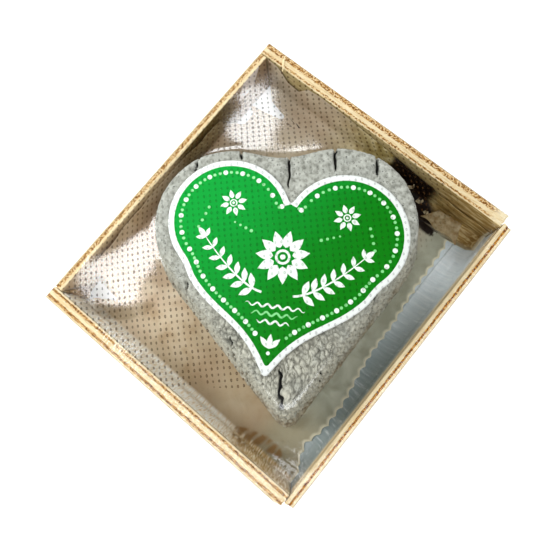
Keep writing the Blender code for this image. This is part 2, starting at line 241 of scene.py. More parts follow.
class Look:
    """One procedural material, built node by node. Colours are read as 0 to 255 values."""

    def __init__(self, name, roughness, **settings):
        self.material = bpy.data.materials.new(name)
        self.material.use_nodes = True
        self.tree = self.material.node_tree
        self.shader = self.tree.nodes["Principled BSDF"]
        self.shader.inputs["Roughness"].default_value = roughness
        for socket, value in settings.items():
            self.shader.inputs[socket.replace("_", " ")].default_value = value
        self.place = self.node("VectorMath", 0, {0: self.node("TexCoord", "Object"),
                                                 "Scale": 1 / MM}, operation="SCALE")

    def feed(self, socket, value):
        if isinstance(value, bpy.types.NodeSocket):
            self.tree.links.new(value, socket)
        elif socket.type == "RGBA":
            socket.default_value = (*srgb(*value), 1.0)
        else:
            socket.default_value = value

    def node(self, kind, output, inputs=None, **settings):
        """Add a node, set its options, feed its inputs and return one of its outputs."""
        node = self.tree.nodes.new("ShaderNode" + kind)
        for setting, value in settings.items():
            setattr(node, setting, value)
        for socket, value in (inputs or {}).items():
            self.feed(node.inputs[socket], value)
        return node.outputs[output]

    def math(self, operation, first, second):
        return self.node("Math", 0, {0: first, 1: second}, operation=operation)

    def times(self, first, second):
        return self.math("MULTIPLY", first, second)

    def add(self, first, second):
        return self.math("ADD", first, second)

    def inverse(self, value):
        return self.math("SUBTRACT", 1.0, value)

    def between(self, value, start, end):
        """0 below start, 1 above end and a smooth change between them."""
        limits = {"Value": value, "From Min": start, "From Max": end}
        return self.node("MapRange", "Result", limits, interpolation_type="SMOOTHSTEP")

    def band(self, value, rise, fall):
        """1 in a band of values, with a smooth rise and fall at its sides."""
        return self.times(self.between(value, *rise), self.inverse(self.between(value, *fall)))

    def noise(self, size, detail=2.0, stretch=None, distortion=0.0):
        place = self.place
        if stretch:
            place = self.node("VectorMath", 0, {0: place, 1: stretch}, operation="MULTIPLY")
        return self.node("TexNoise", "Fac", {"Vector": place, "Scale": 1 / size,
                                             "Detail": detail, "Distortion": distortion})

    def cells(self, size):
        return self.node("TexVoronoi", "Distance", {"Vector": self.place, "Scale": 1 / size})

    def rings(self):
        """Small pale rings: painted glints of the film's beads, out of focus."""
        return self.band(self.cells(1.5), (0.22, 0.30), (0.34, 0.42))

    def axis(self, index):
        return self.node("SeparateXYZ", index, {0: self.place})

    def along(self, index, start, end):
        """0 before start and 1 after end on one of the tray's axes."""
        return self.between(self.axis(index), start, end)

    def attribute(self, name):
        return self.node("Attribute", "Fac", attribute_name=name)

    def mix(self, share, first, second, strength=1.0):
        """The first colour, covered by the second where share is 1, at most by strength."""
        if strength != 1.0:
            share = self.times(share, strength)
        return self.node("Mix", 2, {0: share, 6: first, 7: second}, data_type="RGBA")

    def ramp(self, value, stops, interpolation="LINEAR"):
        colours = self.node("ValToRGB", "Color", {"Fac": value})
        colours.node.color_ramp.interpolation = interpolation
        elements = colours.node.color_ramp.elements
        while len(elements) < len(stops):
            elements.new(1.0)
        for element, (position, colour) in zip(elements, stops.items()):
            element.position = position
            element.color = (*srgb(*colour), 1.0)
        return colours

    def colour(self, value):
        self.feed(self.shader.inputs["Base Color"], value)

    def bump(self, height, depth):
        """Low relief, depth in millimetres for a height of 1."""
        relief = {"Strength": 1.0, "Distance": depth * MM, "Height": height}
        normal = self.node("Bump", "Normal", relief)
        self.feed(self.shader.inputs["Normal"], normal)
        return normal


def flecked(name, roughness, size, detail, stops, relief=0.0, stretch=None, **settings):
    """A material with one noise for its colours and its relief."""
    look = Look(name, roughness, **settings)
    fleck = look.noise(size, detail, stretch)
    look.colour(look.ramp(fleck, stops))
    if relief:
        look.bump(fleck, relief)
    return look.material


def add_piece(name, mesh, material, node=None):
    """Show a mesh as part of the object, in place of a CAD node where one is named."""
    if material is not None:
        mesh.materials.append(material)
    piece = bpy.data.objects.new(name, mesh)
    bpy.context.scene.collection.objects.link(piece)
    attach(piece, "root")
    if node:
        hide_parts(node)
    return piece


def mesh_from(name, points, faces, scale=MM):
    mesh = bpy.data.meshes.new(name)
    places = np.array(points) * scale
    mesh.from_pydata(places.tolist(), [], [tuple(int(i) for i in f) for f in faces])
    mesh.shade_smooth()
    return mesh


def thicken(piece, thickness, offset=0.0):
    body = piece.modifiers.new("thickness", "SOLIDIFY")
    body.thickness = thickness * MM
    body.offset = offset


def set_attribute(mesh, name, values):
    layer = mesh.attributes.new(name, "FLOAT", "POINT")
    layer.data.foreach_set("value", np.asarray(values, dtype=np.float32))


def grid_faces(rows, columns, wrap=False):
    """Quads of a grid of points numbered row by row; wrap joins the last column to the first."""
    number = np.arange(rows * columns).reshape(rows, columns)
    across = np.roll(number, -1, axis=1) if wrap else number[:, 1:]
    here = number if wrap else number[:, :-1]
    quads = [here[:-1], across[:-1], across[1:], here[1:]]
    return np.stack([q.ravel() for q in quads], axis=1)


def block_skin(lines):
    """The skin of a closed block of quads between three sets of grid lines."""
    shape = tuple(len(line) for line in lines)
    surface = np.ones(shape, bool)
    surface[1:-1, 1:-1, 1:-1] = False
    number = np.full(shape, -1)
    number[surface] = np.arange(surface.sum())
    grid = np.meshgrid(*lines, indexing="ij")
    points = np.stack([axis[surface] for axis in grid], axis=1)
    faces = []
    for axis in range(3):
        for end in (0, -1):
            sheet = np.take(number, end, axis=axis)
            corners = [sheet[:-1, :-1], sheet[1:, :-1], sheet[1:, 1:], sheet[:-1, 1:]]
            if (end == 0) != (axis == 1):
                corners.reverse()
            faces.append(np.stack([c.ravel() for c in corners], axis=1))
    return points, np.concatenate(faces)


def edge_lines(low, high, step, wear):
    """Grid lines from low to high, with a close one beside each end for the worn edge."""
    count = max(2, round((high - low) / step))
    inner = np.linspace(low + wear, high - wear, count)
    return np.concatenate([[low], inner, [high]])


def ply_lines(inner, outer, plies):
    """Grid lines across a board's thickness: on each glue line and between them."""
    shares = [0.0, 0.04]
    for start, end in zip(plies[:-1], plies[1:]):
        shares += list(np.linspace(start, end, 4)[1:])
    shares[-1:] = [0.96, 1.0]
    lines = inner + (outer - inner) * np.array(sorted(set(np.round(shares, 4))))
    return np.sort(lines)


def make_board(name, low, high, across, inner, plies, material, seed, reshape):
    """A sawn plywood board: brown plies torn a little below the pale ones, edges worn."""
    outer = low[across] + high[across] - inner
    lines = []
    for axis in range(3):
        if axis == across:
            lines.append(ply_lines(inner, outer, plies))
        elif axis == 2:
            lines.append(edge_lines(low[2], high[2], 1.3, EDGE_WEAR))
        else:
            lines.append(edge_lines(low[axis], high[axis], BOARD_STEP, EDGE_WEAR))
    points, faces = block_skin(lines)
    depth = (points[:, across] - inner) / (outer - inner)
    along = 1 - across
    ends = np.abs(points[:, along] - (low[along] + high[along]) / 2)
    ends = ends > (high[along] - low[along]) / 2 - EDGE_WEAR / 2
    on_top = points[:, 2] > high[2] - TINY
    level = on_top | (points[:, 2] < low[2] + TINY)
    on_face = (depth < TINY) | (depth > 1 - TINY)

    centre = (np.array(low) + np.array(high)) / 2
    inwards = np.sign(centre - points)
    worn = points.copy()
    fray = np.clip(1 + 0.5 * random_waves(points, 1.7, 24, seed), 0.2, 2.2)
    for axis, on_side in ((across, on_face), (along, ends), (2, level)):
        others = (on_face.astype(int) + ends + level) - on_side
        rounding = 0.45 * EDGE_WEAR * fray * (others > 0) * on_side
        worn[:, axis] += inwards[:, axis] * rounding
    brown = np.zeros(len(points))
    for start, end in zip(plies[1:-1:2], plies[2:-1:2]):
        brown = np.maximum(brown, ((depth > start - 0.02) & (depth < end + 0.02)).astype(float))
    torn = np.clip(0.5 + random_waves(points, 1.1, 30, seed + 1), 0, 2)
    saw = 0.02 * random_waves(points * (4, 4, 1), 2.5, 20, seed + 2)
    worn[:, 2] -= on_top * (0.16 * brown * torn + np.abs(saw))
    worn[:, along] += inwards[:, along] * ends * 0.10 * brown * torn
    if reshape:
        worn = reshape(worn)
    add_piece(name, mesh_from(name, worn, faces), material, name)


def plywood(name, across, inner, outer, plies, warmth, inside):
    """Pale birch with brown crossbands that show where the plies are cut through."""
    look = Look(name, 0.72, Specular_IOR_Level=0.3)
    depth = look.math("SUBTRACT", look.axis(across), inner)
    depth = look.math("DIVIDE", depth, outer - inner)
    ragged = look.times(look.math("SUBTRACT", look.noise(0.7, 3.0), 0.5), 0.20)

    grain = look.noise(0.5, 4.0, (0.12, 1.0, 1.0) if across else (1.0, 0.12, 1.0))
    blotch = look.noise(7.0, 3.0)
    cream = look.ramp(grain, {0.25: (206, 176, 128), 0.5: (230, 210, 168), 0.8: (240, 226, 192)})
    cream = look.mix(look.between(blotch, 0.5, 0.75), cream, (222, 196, 148))

    speckle = look.noise(0.55, 1.0)
    brown = look.ramp(speckle, {0.41: (116, 68, 12), 0.47: (174, 120, 42),
                                0.53: (212, 170, 100), 0.58: (238, 216, 172)})
    solid = look.ramp(speckle, {0.41: (92, 46, 4), 0.49: (160, 94, 16), 0.62: (206, 150, 62)})
    brown = look.mix(warmth, brown, solid)
    if name == "plywood_back":
        brown = look.mix(look.along(0, 43.0, 48.5), brown, (238, 222, 186))

    stops = {start: (255, 255, 255) if index % 2 else (0, 0, 0)
             for index, start in enumerate(plies[:-1])}
    is_brown = look.ramp(look.add(depth, ragged), stops, "CONSTANT")
    end_grain = look.mix(is_brown, cream, brown)

    inside_faces = look.band(depth, (0.01, 0.03), (0.97, 0.99))
    face = look.ramp(grain, {0.2: (198, 162, 118), 0.5: (226, 196, 152), 0.8: (240, 216, 176)})
    # The inside colour carries painted shade on the back and left boards.
    lining = look.mix(look.between(grain, 0.3, 0.7), inside, (222, 204, 164), 0.5)
    if name == "plywood_left":
        lining = wall_marks(look, lining)
    if name == "plywood_back":
        lining = wet_corner_shade_and_glints(look, lining)
    face = look.mix(look.between(depth, 0.4, 0.6), lining, face)
    look.colour(look.mix(inside_faces, face, end_grain))
    look.bump(look.add(grain, look.times(speckle, 0.6)), 0.12)
    return look.material


def wall_marks(look, colour):
    """Painted light on the left board's inner face: a pale patch of painted window reflection, an
    olive band of painted shade with pale rings of painted glints, and painted shade towards the back.
    """
    along = look.axis(1)
    up = look.axis(2)
    slant = look.math("SUBTRACT", along, look.times(up, 0.55))
    # A pale patch of painted reflection.
    glare_patch = look.band(slant, (30.2, 30.5), (39.0, 39.6))
    glare_patch = look.times(glare_patch, look.between(up, 12.2, 12.8))
    # An olive band of painted shade, with pale rings of painted glints.
    shade_band = look.band(along, (-2.0, 11.0), (30.0, 40.0))
    olive = look.mix(look.times(look.rings(), 0.35), (104, 82, 34), (190, 176, 132))
    # Painted shade darkens the face towards the back.
    colour = look.mix(look.between(along, 20.0, 31.0), colour, (160, 131, 96))
    colour = look.mix(shade_band, colour, olive)
    return look.mix(glare_patch, colour, (226, 212, 204))


def wet_corner_shade_and_glints(look, colour):
    """The back board's right end is golden brown, from moisture and from painted shade in the corner,
    with pale streaks of painted glints from the film's puckers.
    """
    glint_streak = look.noise(0.9, 3.0, (0.14, 1.0, 1.0), 0.4)
    golden = look.ramp(glint_streak, {0.36: (142, 110, 54), 0.52: (166, 134, 78), 0.62: (206, 182, 130)})
    return look.mix(look.along(0, 14.0, 36.0), colour, golden)


FRONT_PLIES = (0.0, 0.12, 0.30, 0.62, 0.82, 1.0)
BACK_PLIES = (0.0, 0.12, 0.28, 0.60, 0.95, 1.0)
THREE_PLIES_LEFT = (0.0, 0.40, 0.84, 1.0)
THREE_PLIES_RIGHT = (0.0, 0.38, 0.64, 1.0)


def chip_corner(points):
    """The front board's outer corner at the right is broken off along its height."""
    away = END_RIGHT - points[:, 0]
    front = -HALF_LENGTH + CHIP_DEPTH * np.clip(1 - away / CHIP_LENGTH, 0, 1)
    points[:, 1] = np.maximum(points[:, 1], front)
    return points


def slant_ends(points):
    """The right board's saw cuts run back towards its outer face."""
    outwards = np.clip((points[:, 0] - RIGHT_FACE) / (HALF_WIDTH - RIGHT_FACE), 0, 1)
    near_end = smooth_step(np.abs(points[:, 1]), 50, 57)
    points[:, 1] -= np.sign(points[:, 1]) * RIGHT_SLANT * outwards * near_end
    return points


# Node, low and high corner, axis across, inner face, plies, warmth, inside colour, seed, shaping; the
# back and left boards' inside colours are darkened with painted shade
BOARDS = (
    ("end_board_front", (-HALF_WIDTH, -HALF_LENGTH, 0), (END_RIGHT, -HALF_INNER, RIM), 1,
     -HALF_INNER, FRONT_PLIES, 0.6, (246, 234, 210), 21, chip_corner),
    ("end_board_back", (-HALF_WIDTH, HALF_INNER, 0), (END_RIGHT, HALF_LENGTH, RIM), 1,
     HALF_INNER, BACK_PLIES, 0.2, (164, 140, 82), 22, None),
    ("side_board_left", (-HALF_WIDTH, JOINT_GAP - HALF_INNER, 0),
     (LEFT_FACE, HALF_INNER - JOINT_GAP, RIM), 0, LEFT_FACE, THREE_PLIES_LEFT, 0.1,
     (190, 160, 124), 23, None),
    ("side_board_right", (RIGHT_FACE, RIGHT_FRONT_END, 0), (HALF_WIDTH, RIGHT_BACK_END, RIM),
     0, RIGHT_FACE, THREE_PLIES_RIGHT, 1.0, (214, 192, 152), 24, slant_ends),
)


def make_boards():
    for name, low, high, across, inner, plies, warmth, inside, seed, reshape in BOARDS:
        outer = low[across] + high[across] - inner
        look = plywood(name.replace("end_board", "plywood").replace("side_board", "plywood"),
                       across, inner, outer, plies, warmth, inside)
        make_board(name, low, high, across, inner, plies, look, seed, reshape)


def make_sliver():
    """A pale splinter of wood that lies across the back board's rim."""
    start = np.array([-45.4, 59.2, 20.72])
    end = np.array([-42.3, 53.6, 20.95])
    steps, sides = 14, 6
    direction = (end - start) / np.linalg.norm(end - start)
    sideways = np.cross(direction, (0, 0, 1))
    points = []
    for step in range(steps + 1):
        share = step / steps
        reach = 0.26 * (0.35 + 0.65 * sin(pi * (0.15 + 0.8 * share)))
        centre = start + (end - start) * share + sideways * 0.2 * sin(5 * share)
        for turn in np.linspace(0, 2 * pi, sides, endpoint=False):
            points.append(centre + sideways * reach * cos(turn)
                          + np.array([0, 0, 0.5 * reach * sin(turn)]))
    faces = [tuple(f) for f in grid_faces(steps + 1, sides, wrap=True)]
    faces.append(tuple(reversed(range(sides))))
    faces.append(tuple(range(steps * sides, (steps + 1) * sides)))
    wood = flecked("splinter", 0.6, 0.4, 3.0, {0.3: (226, 196, 140), 0.7: (250, 236, 196)},
                   stretch=(1.0, 0.3, 1.0))
    add_piece("splinter", mesh_from("splinter", points, faces), wood)


def make_floor_board():
    lines = [edge_lines(LEFT_FACE + JOINT_GAP, RIGHT_FACE - JOINT_GAP, 1.2, EDGE_WEAR),
             edge_lines(-HALF_INNER + JOINT_GAP, HALF_INNER - JOINT_GAP, 1.2, EDGE_WEAR),
             np.linspace(0, FLOOR_TOP, 4)]
    points, faces = block_skin(lines)
    top = points[:, 2] > FLOOR_TOP - TINY
    points[:, 2] -= top * 0.05 * np.abs(random_waves(points, 14, 12, 31))

    look = Look("floor_lining", 0.38, Coat_Weight=0.25, Coat_Roughness=0.2)
    fibre = look.noise(1.0, 3.0, (0.25, 1.6, 1.0))
    blotch = look.noise(14.0, 3.0)
    # Painted shade: the strip along the right board is slate grey, lighter towards the back, with pale
    # streaks of painted film reflection.
    right_share = look.along(0, -20.0, 35.0)
    pale = look.ramp(fibre, {0.3: (248, 249, 250), 0.7: (254, 254, 254)})
    lighter_to_back = look.along(1, -45.0, 50.0)
    shaded_slate = look.mix(lighter_to_back, (132, 140, 140), (226, 236, 240))
    glint_streak = look.times(look.between(fibre, 0.45, 0.75), 0.35)
    shaded_slate = look.mix(glint_streak, shaded_slate, (222, 228, 230))
    shaded_slate = look.mix(look.between(blotch, 0.45, 0.7), shaded_slate, (150, 160, 162), 0.2)
    look.colour(look.mix(right_share, pale, shaded_slate))
    look.bump(fibre, 0.04)
    add_piece("floor_board", mesh_from("floor_board", points, faces), look.material,
              "floor_board")


def make_right_lining():
    """The floor's smooth lining turns up in a wide curve against the right board."""
    wall = RIGHT_FACE - 0.12
    turns = np.linspace(0, pi / 2, 14)
    profile = [(wall - LINING_BEND + LINING_BEND * sin(turn),
                FLOOR_TOP + 0.12 + LINING_BEND * (1 - cos(turn))) for turn in turns]
    profile += [(wall, height) for height in np.linspace(profile[-1][1], LINING_TOP, 12)[1:]]
    run = np.linspace(-HALF_INNER + 0.5, HALF_INNER - 0.5, 140)
    points = []
    for step, (x, z) in enumerate(profile):
        place = points_from(x, run, z)
        swell = 0.06 * np.abs(random_waves(place * (0.3, 1, 0.3), 16, 14, 32))
        lean = step / len(profile)
        place[:, 0] -= swell * lean
        place[:, 2] += swell * (1 - lean) - 0.9 * lean * (1 + 0.6 * np.sin(run / 9))
        points.append(place)
    faces = grid_faces(len(profile), len(run))
    mesh = mesh_from("right_lining", np.concatenate(points), faces)
    look = Look("lining_turned_up", 0.42, Coat_Weight=0.2, Coat_Roughness=0.2)
    # Painted shade: the turned-up lining is slate grey, paler towards the back, with pale streaks of
    # painted film reflection.
    glint_streak = look.noise(0.8, 3.0, (0.12, 1.0, 0.12))
    shaded_slate = look.ramp(glint_streak, {0.36: (150, 163, 164), 0.60: (163, 175, 176), 0.70: (206, 214, 215)})
    pale = look.ramp(glint_streak, {0.32: (220, 230, 234), 0.68: (240, 246, 248)})
    shaded_slate = look.mix(look.along(1, -12.0, 42.0), shaded_slate, pale)
    near_rim = look.along(2, 12.5, 17.0)
    look.colour(look.mix(near_rim, shaded_slate, (228, 202, 156)))
    look.bump(glint_streak, 0.015)
    thicken(add_piece("right_lining", mesh, look.material), PAPER_THICKNESS)


BACK_RISE = ((-50.0, 15.2), (-45.0, 14.6), (-40.0, 9.5), (-35.0, 9.0), (-31.0, 14.2),
             (-26.0, 15.2), (-12.0, 14.8), (0.0, 13.0), (14.0, 11.0), (30.0, 8.5), (50.0, 7.0))
FRONT_RISE = ((-50.0, 15.0), (50.0, 15.0))
# Beyond the left board's face this edge runs on up the board
LEFT_EDGE = ((-56.0, -48.6), (-52.4, -47.1), (-49.3, -42.6), (-47.4, -39.4), (-46.8, -41.0),
             (-46.3, -47.0), (-45.6, -54.0), (-44.4, -62.0), (-40.0, -64.0), (-10.0, -64.6),
             (20.0, -64.2), (27.0, -62.5), (30.0, -55.0), (32.4, -51.0), (33.4, -50.0),
             (35.6, -47.2), (40.9, -47.2), (42.4, -49.9), (43.2, -49.9), (43.7, -46.9),
             (44.3, -43.4), (45.3, -40.4), (45.8, -37.0), (47.8, -36.8), (49.4, -44.8),
             (52.8, -48.2), (54.4, -49.6))
RIGHT_EDGE = ((-56.0, 49.9), (-50.0, 49.8), (-46.0, 48.0), (-41.5, 46.6), (-38.3, 47.8),
              (-33.7, 48.4), (-24.0, 48.4), (-17.8, 47.5), (-10.1, 46.2), (-1.9, 45.2),
              (9.3, 45.0), (19.3, 43.9), (25.6, 43.3), (33.0, 43.0), (42.1, 42.5),
              (47.0, 41.6), (47.6, 49.9), (56.0, 49.9))
TOOTH_LENGTH = 4.0
TOOTH_DEPTH = 1.0

# Lines on the tray's floor for marks on the sheet: two of painted shade and one of golden stains
SHADE_CRESCENT_LINE = ((-44.0, -53.8), (-38.0, -52.0), (-33.0, -48.0), (-27.5, -39.5))
RECESS_SHADE_LINE = ((6.0, 57.5), (16.0, 55.0), (24.0, 51.2), (30.0, 48.0), (35.0, 45.0))
GOLD_LINE = ((24.0, -53.5), (30.0, -52.3), (34.5, -51.0), (40.0, -50.5), (43.5, -51.5))


def follow(line, value):
    """Read a drawn line of pairs at value."""
    return np.interp(value, *np.array(line).T)


def folded_up(past):
    """How far a sheet that goes past its bend moves outwards and upwards."""
    quarter = PAPER_BEND * pi / 2
    turn = np.clip(past, 0, quarter) / PAPER_BEND
    rise = np.maximum(past - quarter, 0)
    return PAPER_BEND * np.sin(turn), PAPER_BEND * (1 - np.cos(turn)) + rise, rise


def paper_place(across, along_share):
    """Fold the sheet up three of the boards and let it ripple where nothing lies on it."""
    flat = HALF_INNER - 0.35 - PAPER_BEND
    flat_left = LEFT_FACE + 0.35 + PAPER_BEND
    quarter = PAPER_BEND * pi / 2
    x_guess = 99.5 * across - 49.6
    back_end = flat + quarter + follow(BACK_RISE, x_guess)
    front_end = flat + quarter + follow(FRONT_RISE, x_guess)
    along = -front_end + (front_end + back_end) * along_share
    side = np.sign(along)
    outwards, upwards, rise = folded_up(np.abs(along) - flat)
    y = side * (np.minimum(np.abs(along), flat) + outwards)
    z = PAPER_LEVEL + upwards
    left = follow(LEFT_EDGE, y)
    left += (LEFT_FACE + 0.6 - left) * smooth_step(rise, 1, 9) * 0.8
    teeth = np.abs(np.sin(pi * along / TOOTH_LENGTH))
    right = follow(RIGHT_EDGE, y)
    right -= TOOTH_DEPTH * teeth * (right < 49.4)
    spread = left + (right - left) * across

    outwards, upwards, rise_left = folded_up(flat_left - spread)
    turned = 1 - smooth_step(np.abs(along), flat - 3, flat)
    x = spread + (np.maximum(spread, flat_left) - outwards - spread) * turned
    z = z + upwards * turned
    up_lining = np.clip((x - (RIGHT_FACE - LINING_BEND)) / LINING_BEND, 0, 0.98)
    up_lining = LINING_BEND * (1 - np.sqrt(1 - up_lining ** 2))
    z = np.maximum(z, FLOOR_TOP + 0.45 + up_lining)

    inside_x, inside_y = CHEESE.from_tray(x, y)
    clear = smooth_step(CHEESE.distance(inside_x, inside_y), 1.0, 6)
    clear = clear * (1 - 0.8 * smooth_step(x, 38, 44))
    spots = points_from(x, y, 0.7 * z)
    broad = random_waves(spots, 17, 14, 41).reshape(x.shape)
    small = random_waves(spots, 6.5, 18, 42).reshape(x.shape)
    crease = random_waves(spots, 11, 16, 43).reshape(x.shape)
    crease = np.maximum(0, 1 - np.abs(crease) / 0.16)
    lift = 0.42 + 0.26 * broad + 0.10 * small + 0.20 * crease
    lift = np.clip(lift, 0.02, 1.3) * clear * (1 - 0.9 * smooth_step(rise, 8, 14))
    wall = np.clip(rise / 5, 0, 1)
    wall_left = np.clip(rise_left / 5, 0, 1) * turned
    y = y - side * lift * wall
    x = x + lift * wall_left
    z = z + lift * (1 - wall) * (1 - wall_left)
    return x, y, z, right - spread, wall_left


def near_line(x, y, line, half_width):
    """1 close to a drawn line, 0 beyond half_width, tapering at the line's ends."""
    line = np.array(line)
    runs = np.diff(line, axis=0)
    lengths = np.linalg.norm(runs, axis=1)
    passed = np.concatenate([[0], np.cumsum(lengths)])
    best = np.full(x.shape, 1e9)
    where = np.zeros(x.shape)
    for start, run, length, before in zip(line, runs, lengths, passed):
        share = ((x - start[0]) * run[0] + (y - start[1]) * run[1]) / length ** 2
        share = np.clip(share, 0, 1)
        gap = np.hypot(x - start[0] - share * run[0], y - start[1] - share * run[1])
        where = np.where(gap < best, (before + share * length) / passed[-1], where)
        best = np.minimum(best, gap)
    width = half_width * np.sqrt(np.clip(4 * where * (1 - where), 0.02, 1))
    return 1 - smooth_step(best / width, 0.7, 1.15)


def add_sheet(name, points, faces, material):
    sheet = add_piece(name, mesh_from(name, points, faces), material)
    thicken(sheet, PAPER_THICKNESS)


def make_paper():
    shares = np.linspace(0, 1, PAPER_COLUMNS)
    across, along = np.meshgrid(shares, np.linspace(0, 1, PAPER_ROWS), indexing="xy")
    x, y, z, from_edge, up_left = paper_place(across, along)
    points = points_from(x, y, z)
    mesh = mesh_from("paper_sheet", points, grid_faces(PAPER_ROWS, PAPER_COLUMNS))
    # The toothed edge's painted highlight.
    set_attribute(mesh, "rim", np.clip(1.3 - from_edge.ravel() / 0.8, 0, 1))
    flat_x, flat_y, _ = points.T
    # Painted shade: an olive crescent along a line, and an olive band where the sheet climbs the left
    # board.
    olive_shade = 0.5 * near_line(flat_x, flat_y, SHADE_CRESCENT_LINE, 3.0)
    shaded_wall_band = hump(flat_y, (-2, 11), (27, 36))
    olive_shade = np.maximum(olive_shade, shaded_wall_band * smooth_step(up_left.ravel(), 0.0, 0.5))
    set_attribute(mesh, "olive_shade", olive_shade)
    # Painted shade in the recess behind the cheese's right lobe.
    set_attribute(mesh, "recess_shade", near_line(flat_x, flat_y, RECESS_SHADE_LINE, 5.0))
    gold = near_line(flat_x, flat_y, GOLD_LINE, 2.4)
    streaks = random_waves(points * (1, 0.15, 0.15), 1.6, 24, 44)
    set_attribute(mesh, "gold", 0.85 * gold * smooth_step(streaks, -1.4, 0.4))

    look = Look("greaseproof_paper", 0.55, Specular_IOR_Level=0.3)
    blotch = look.noise(9.0, 3.0, distortion=0.4)
    pink = look.noise(24.0, 2.0)
    fibre = look.noise(0.6, 3.0)
    backwards = look.axis(1)
    forwards = look.times(backwards, -1.0)
    rightwards = look.axis(0)
    tan = look.ramp(blotch, {0.32: (194, 166, 132), 0.5: (226, 206, 176), 0.7: (238, 222, 196)})
    tan = look.mix(look.between(pink, 0.4, 0.65), tan, (210, 180, 154), 0.55)
    tan = look.mix(fibre, tan, (240, 226, 200), 0.16)
    shaded = look.times(look.between(backwards, 8.0, 34.0), 0.45)
    tan = look.mix(shaded, tan, (136, 122, 98))
    # Painted shade: broad darker brown towards the front.
    front_shade = look.times(look.between(rightwards, -34.0, 6.0), look.between(forwards, 14.0, 38.0))
    tan = look.mix(front_shade, tan, (142, 118, 78), 0.6)
    # Painted shade: the sheet turns grey towards the right beside the cheese, warmer towards the
    # front.
    shaded_grey = look.ramp(blotch, {0.35: (152, 152, 132), 0.6: (184, 184, 165)})
    # Painted shade where the sheet climbs the left board.
    up_left = look.between(look.times(rightwards, -1.0), 46.5, 49.4)
    tan = look.mix(up_left, tan, (182, 152, 116), 0.5)
    shaded_grey = look.mix(look.between(forwards, 26.0, 42.0), shaded_grey, (160, 144, 108), 0.6)
    colour = look.mix(look.between(rightwards, 26.0, 38.0), tan, shaded_grey)
    # Painted shade: olive on the sheet up the back board, with the corner's golden brown and painted
    # glints.
    shade_mottle = look.noise(3.6, 4.0)
    olive = look.ramp(shade_mottle, {0.38: (150, 128, 68), 0.50: (184, 164, 108), 0.62: (216, 200, 152)})
    on_back = look.times(look.between(rightwards, -24.0, 4.0), look.between(backwards, 46.0, 50.0))
    olive = wet_corner_shade_and_glints(look, olive)
    colour = look.mix(on_back, colour, olive)
    # Up the front board the sheet is cream, with pale streaks of painted glints from the film's
    # wrinkles.
    glint_streak = look.noise(0.45, 3.0, (1.0, 0.1, 0.1))
    cream = look.ramp(glint_streak, {0.36: (228, 206, 172), 0.48: (252, 246, 232), 0.6: (255, 254, 250)})
    straw = look.ramp(glint_streak, {0.36: (180, 142, 84), 0.5: (222, 192, 142), 0.64: (252, 240, 214)})
    cream = look.mix(look.between(rightwards, 14.0, 34.0), cream, straw)
    colour = look.mix(look.between(forwards, 52.6, 54.0), colour, cream)
    # The olive painted shade, with pale rings of painted glints.
    olive_shade = look.mix(look.times(look.rings(), 0.5), (118, 98, 54), (202, 188, 150))
    colour = look.mix(look.attribute("olive_shade"), colour, olive_shade, 0.85)
    colour = look.mix(look.attribute("gold"), colour, (140, 100, 42))
    # Near-black painted shade in that recess.
    colour = look.mix(look.attribute("recess_shade"), colour, (30, 12, 1))
    # Painted highlight along the sheet's toothed edge.
    colour = look.mix(look.attribute("rim"), colour, (236, 228, 200))
    look.colour(colour)
    look.bump(look.add(fibre, blotch), 0.05)
    sheet = add_piece("paper_sheet", mesh, look.material, "paper_sheet")
    thicken(sheet, PAPER_THICKNESS)


def make_corner_fold():
    """The sheet's turned-in corner at the front left: a small slanting gusset, dark golden brown with
    painted shade, its pale crease lines painted highlights.
    """
    corner = np.array([-49.9, -54.3, 19.4])
    front = np.array([-47.6, -53.9, 3.4])
    left = np.array([-49.9, -48.4, 4.6])
    steps = 24
    points = []
    number = {}
    for row in range(steps + 1):
        for column in range(steps + 1 - row):
            first = row / steps
            second = column / steps
            place = corner + (front - corner) * first + (left - corner) * second
            reach = first + second
            crease = 1 - abs(2 * second / max(reach, 0.01) - 1)
            fold = sin(pi * min(1, reach)) * crease
            number[row, column] = len(points)
            points.append(place + np.array([1.1, 1.1, 0.3]) * fold)
    faces = []
    for row in range(steps):
        for column in range(steps - row):
            faces.append((number[row, column], number[row + 1, column], number[row, column + 1]))
            if column < steps - row - 1:
                faces.append((number[row + 1, column], number[row + 1, column + 1],
                              number[row, column + 1]))
    look = Look("corner_fold_shade", 0.5)
    blotch = look.noise(2.2, 3.0)
    crease = look.noise(0.7, 3.0, (1.0, 1.0, 0.15))
    # Painted shade in the dark golden brown, and painted highlights on the creases.
    gold = look.ramp(blotch, {0.35: (132, 98, 52), 0.6: (176, 142, 92)})
    look.colour(look.mix(look.between(crease, 0.56, 0.7), gold, (232, 212, 172)))
    look.bump(crease, 0.08)
    add_sheet("paper_corner_fold", points, faces, look.material)


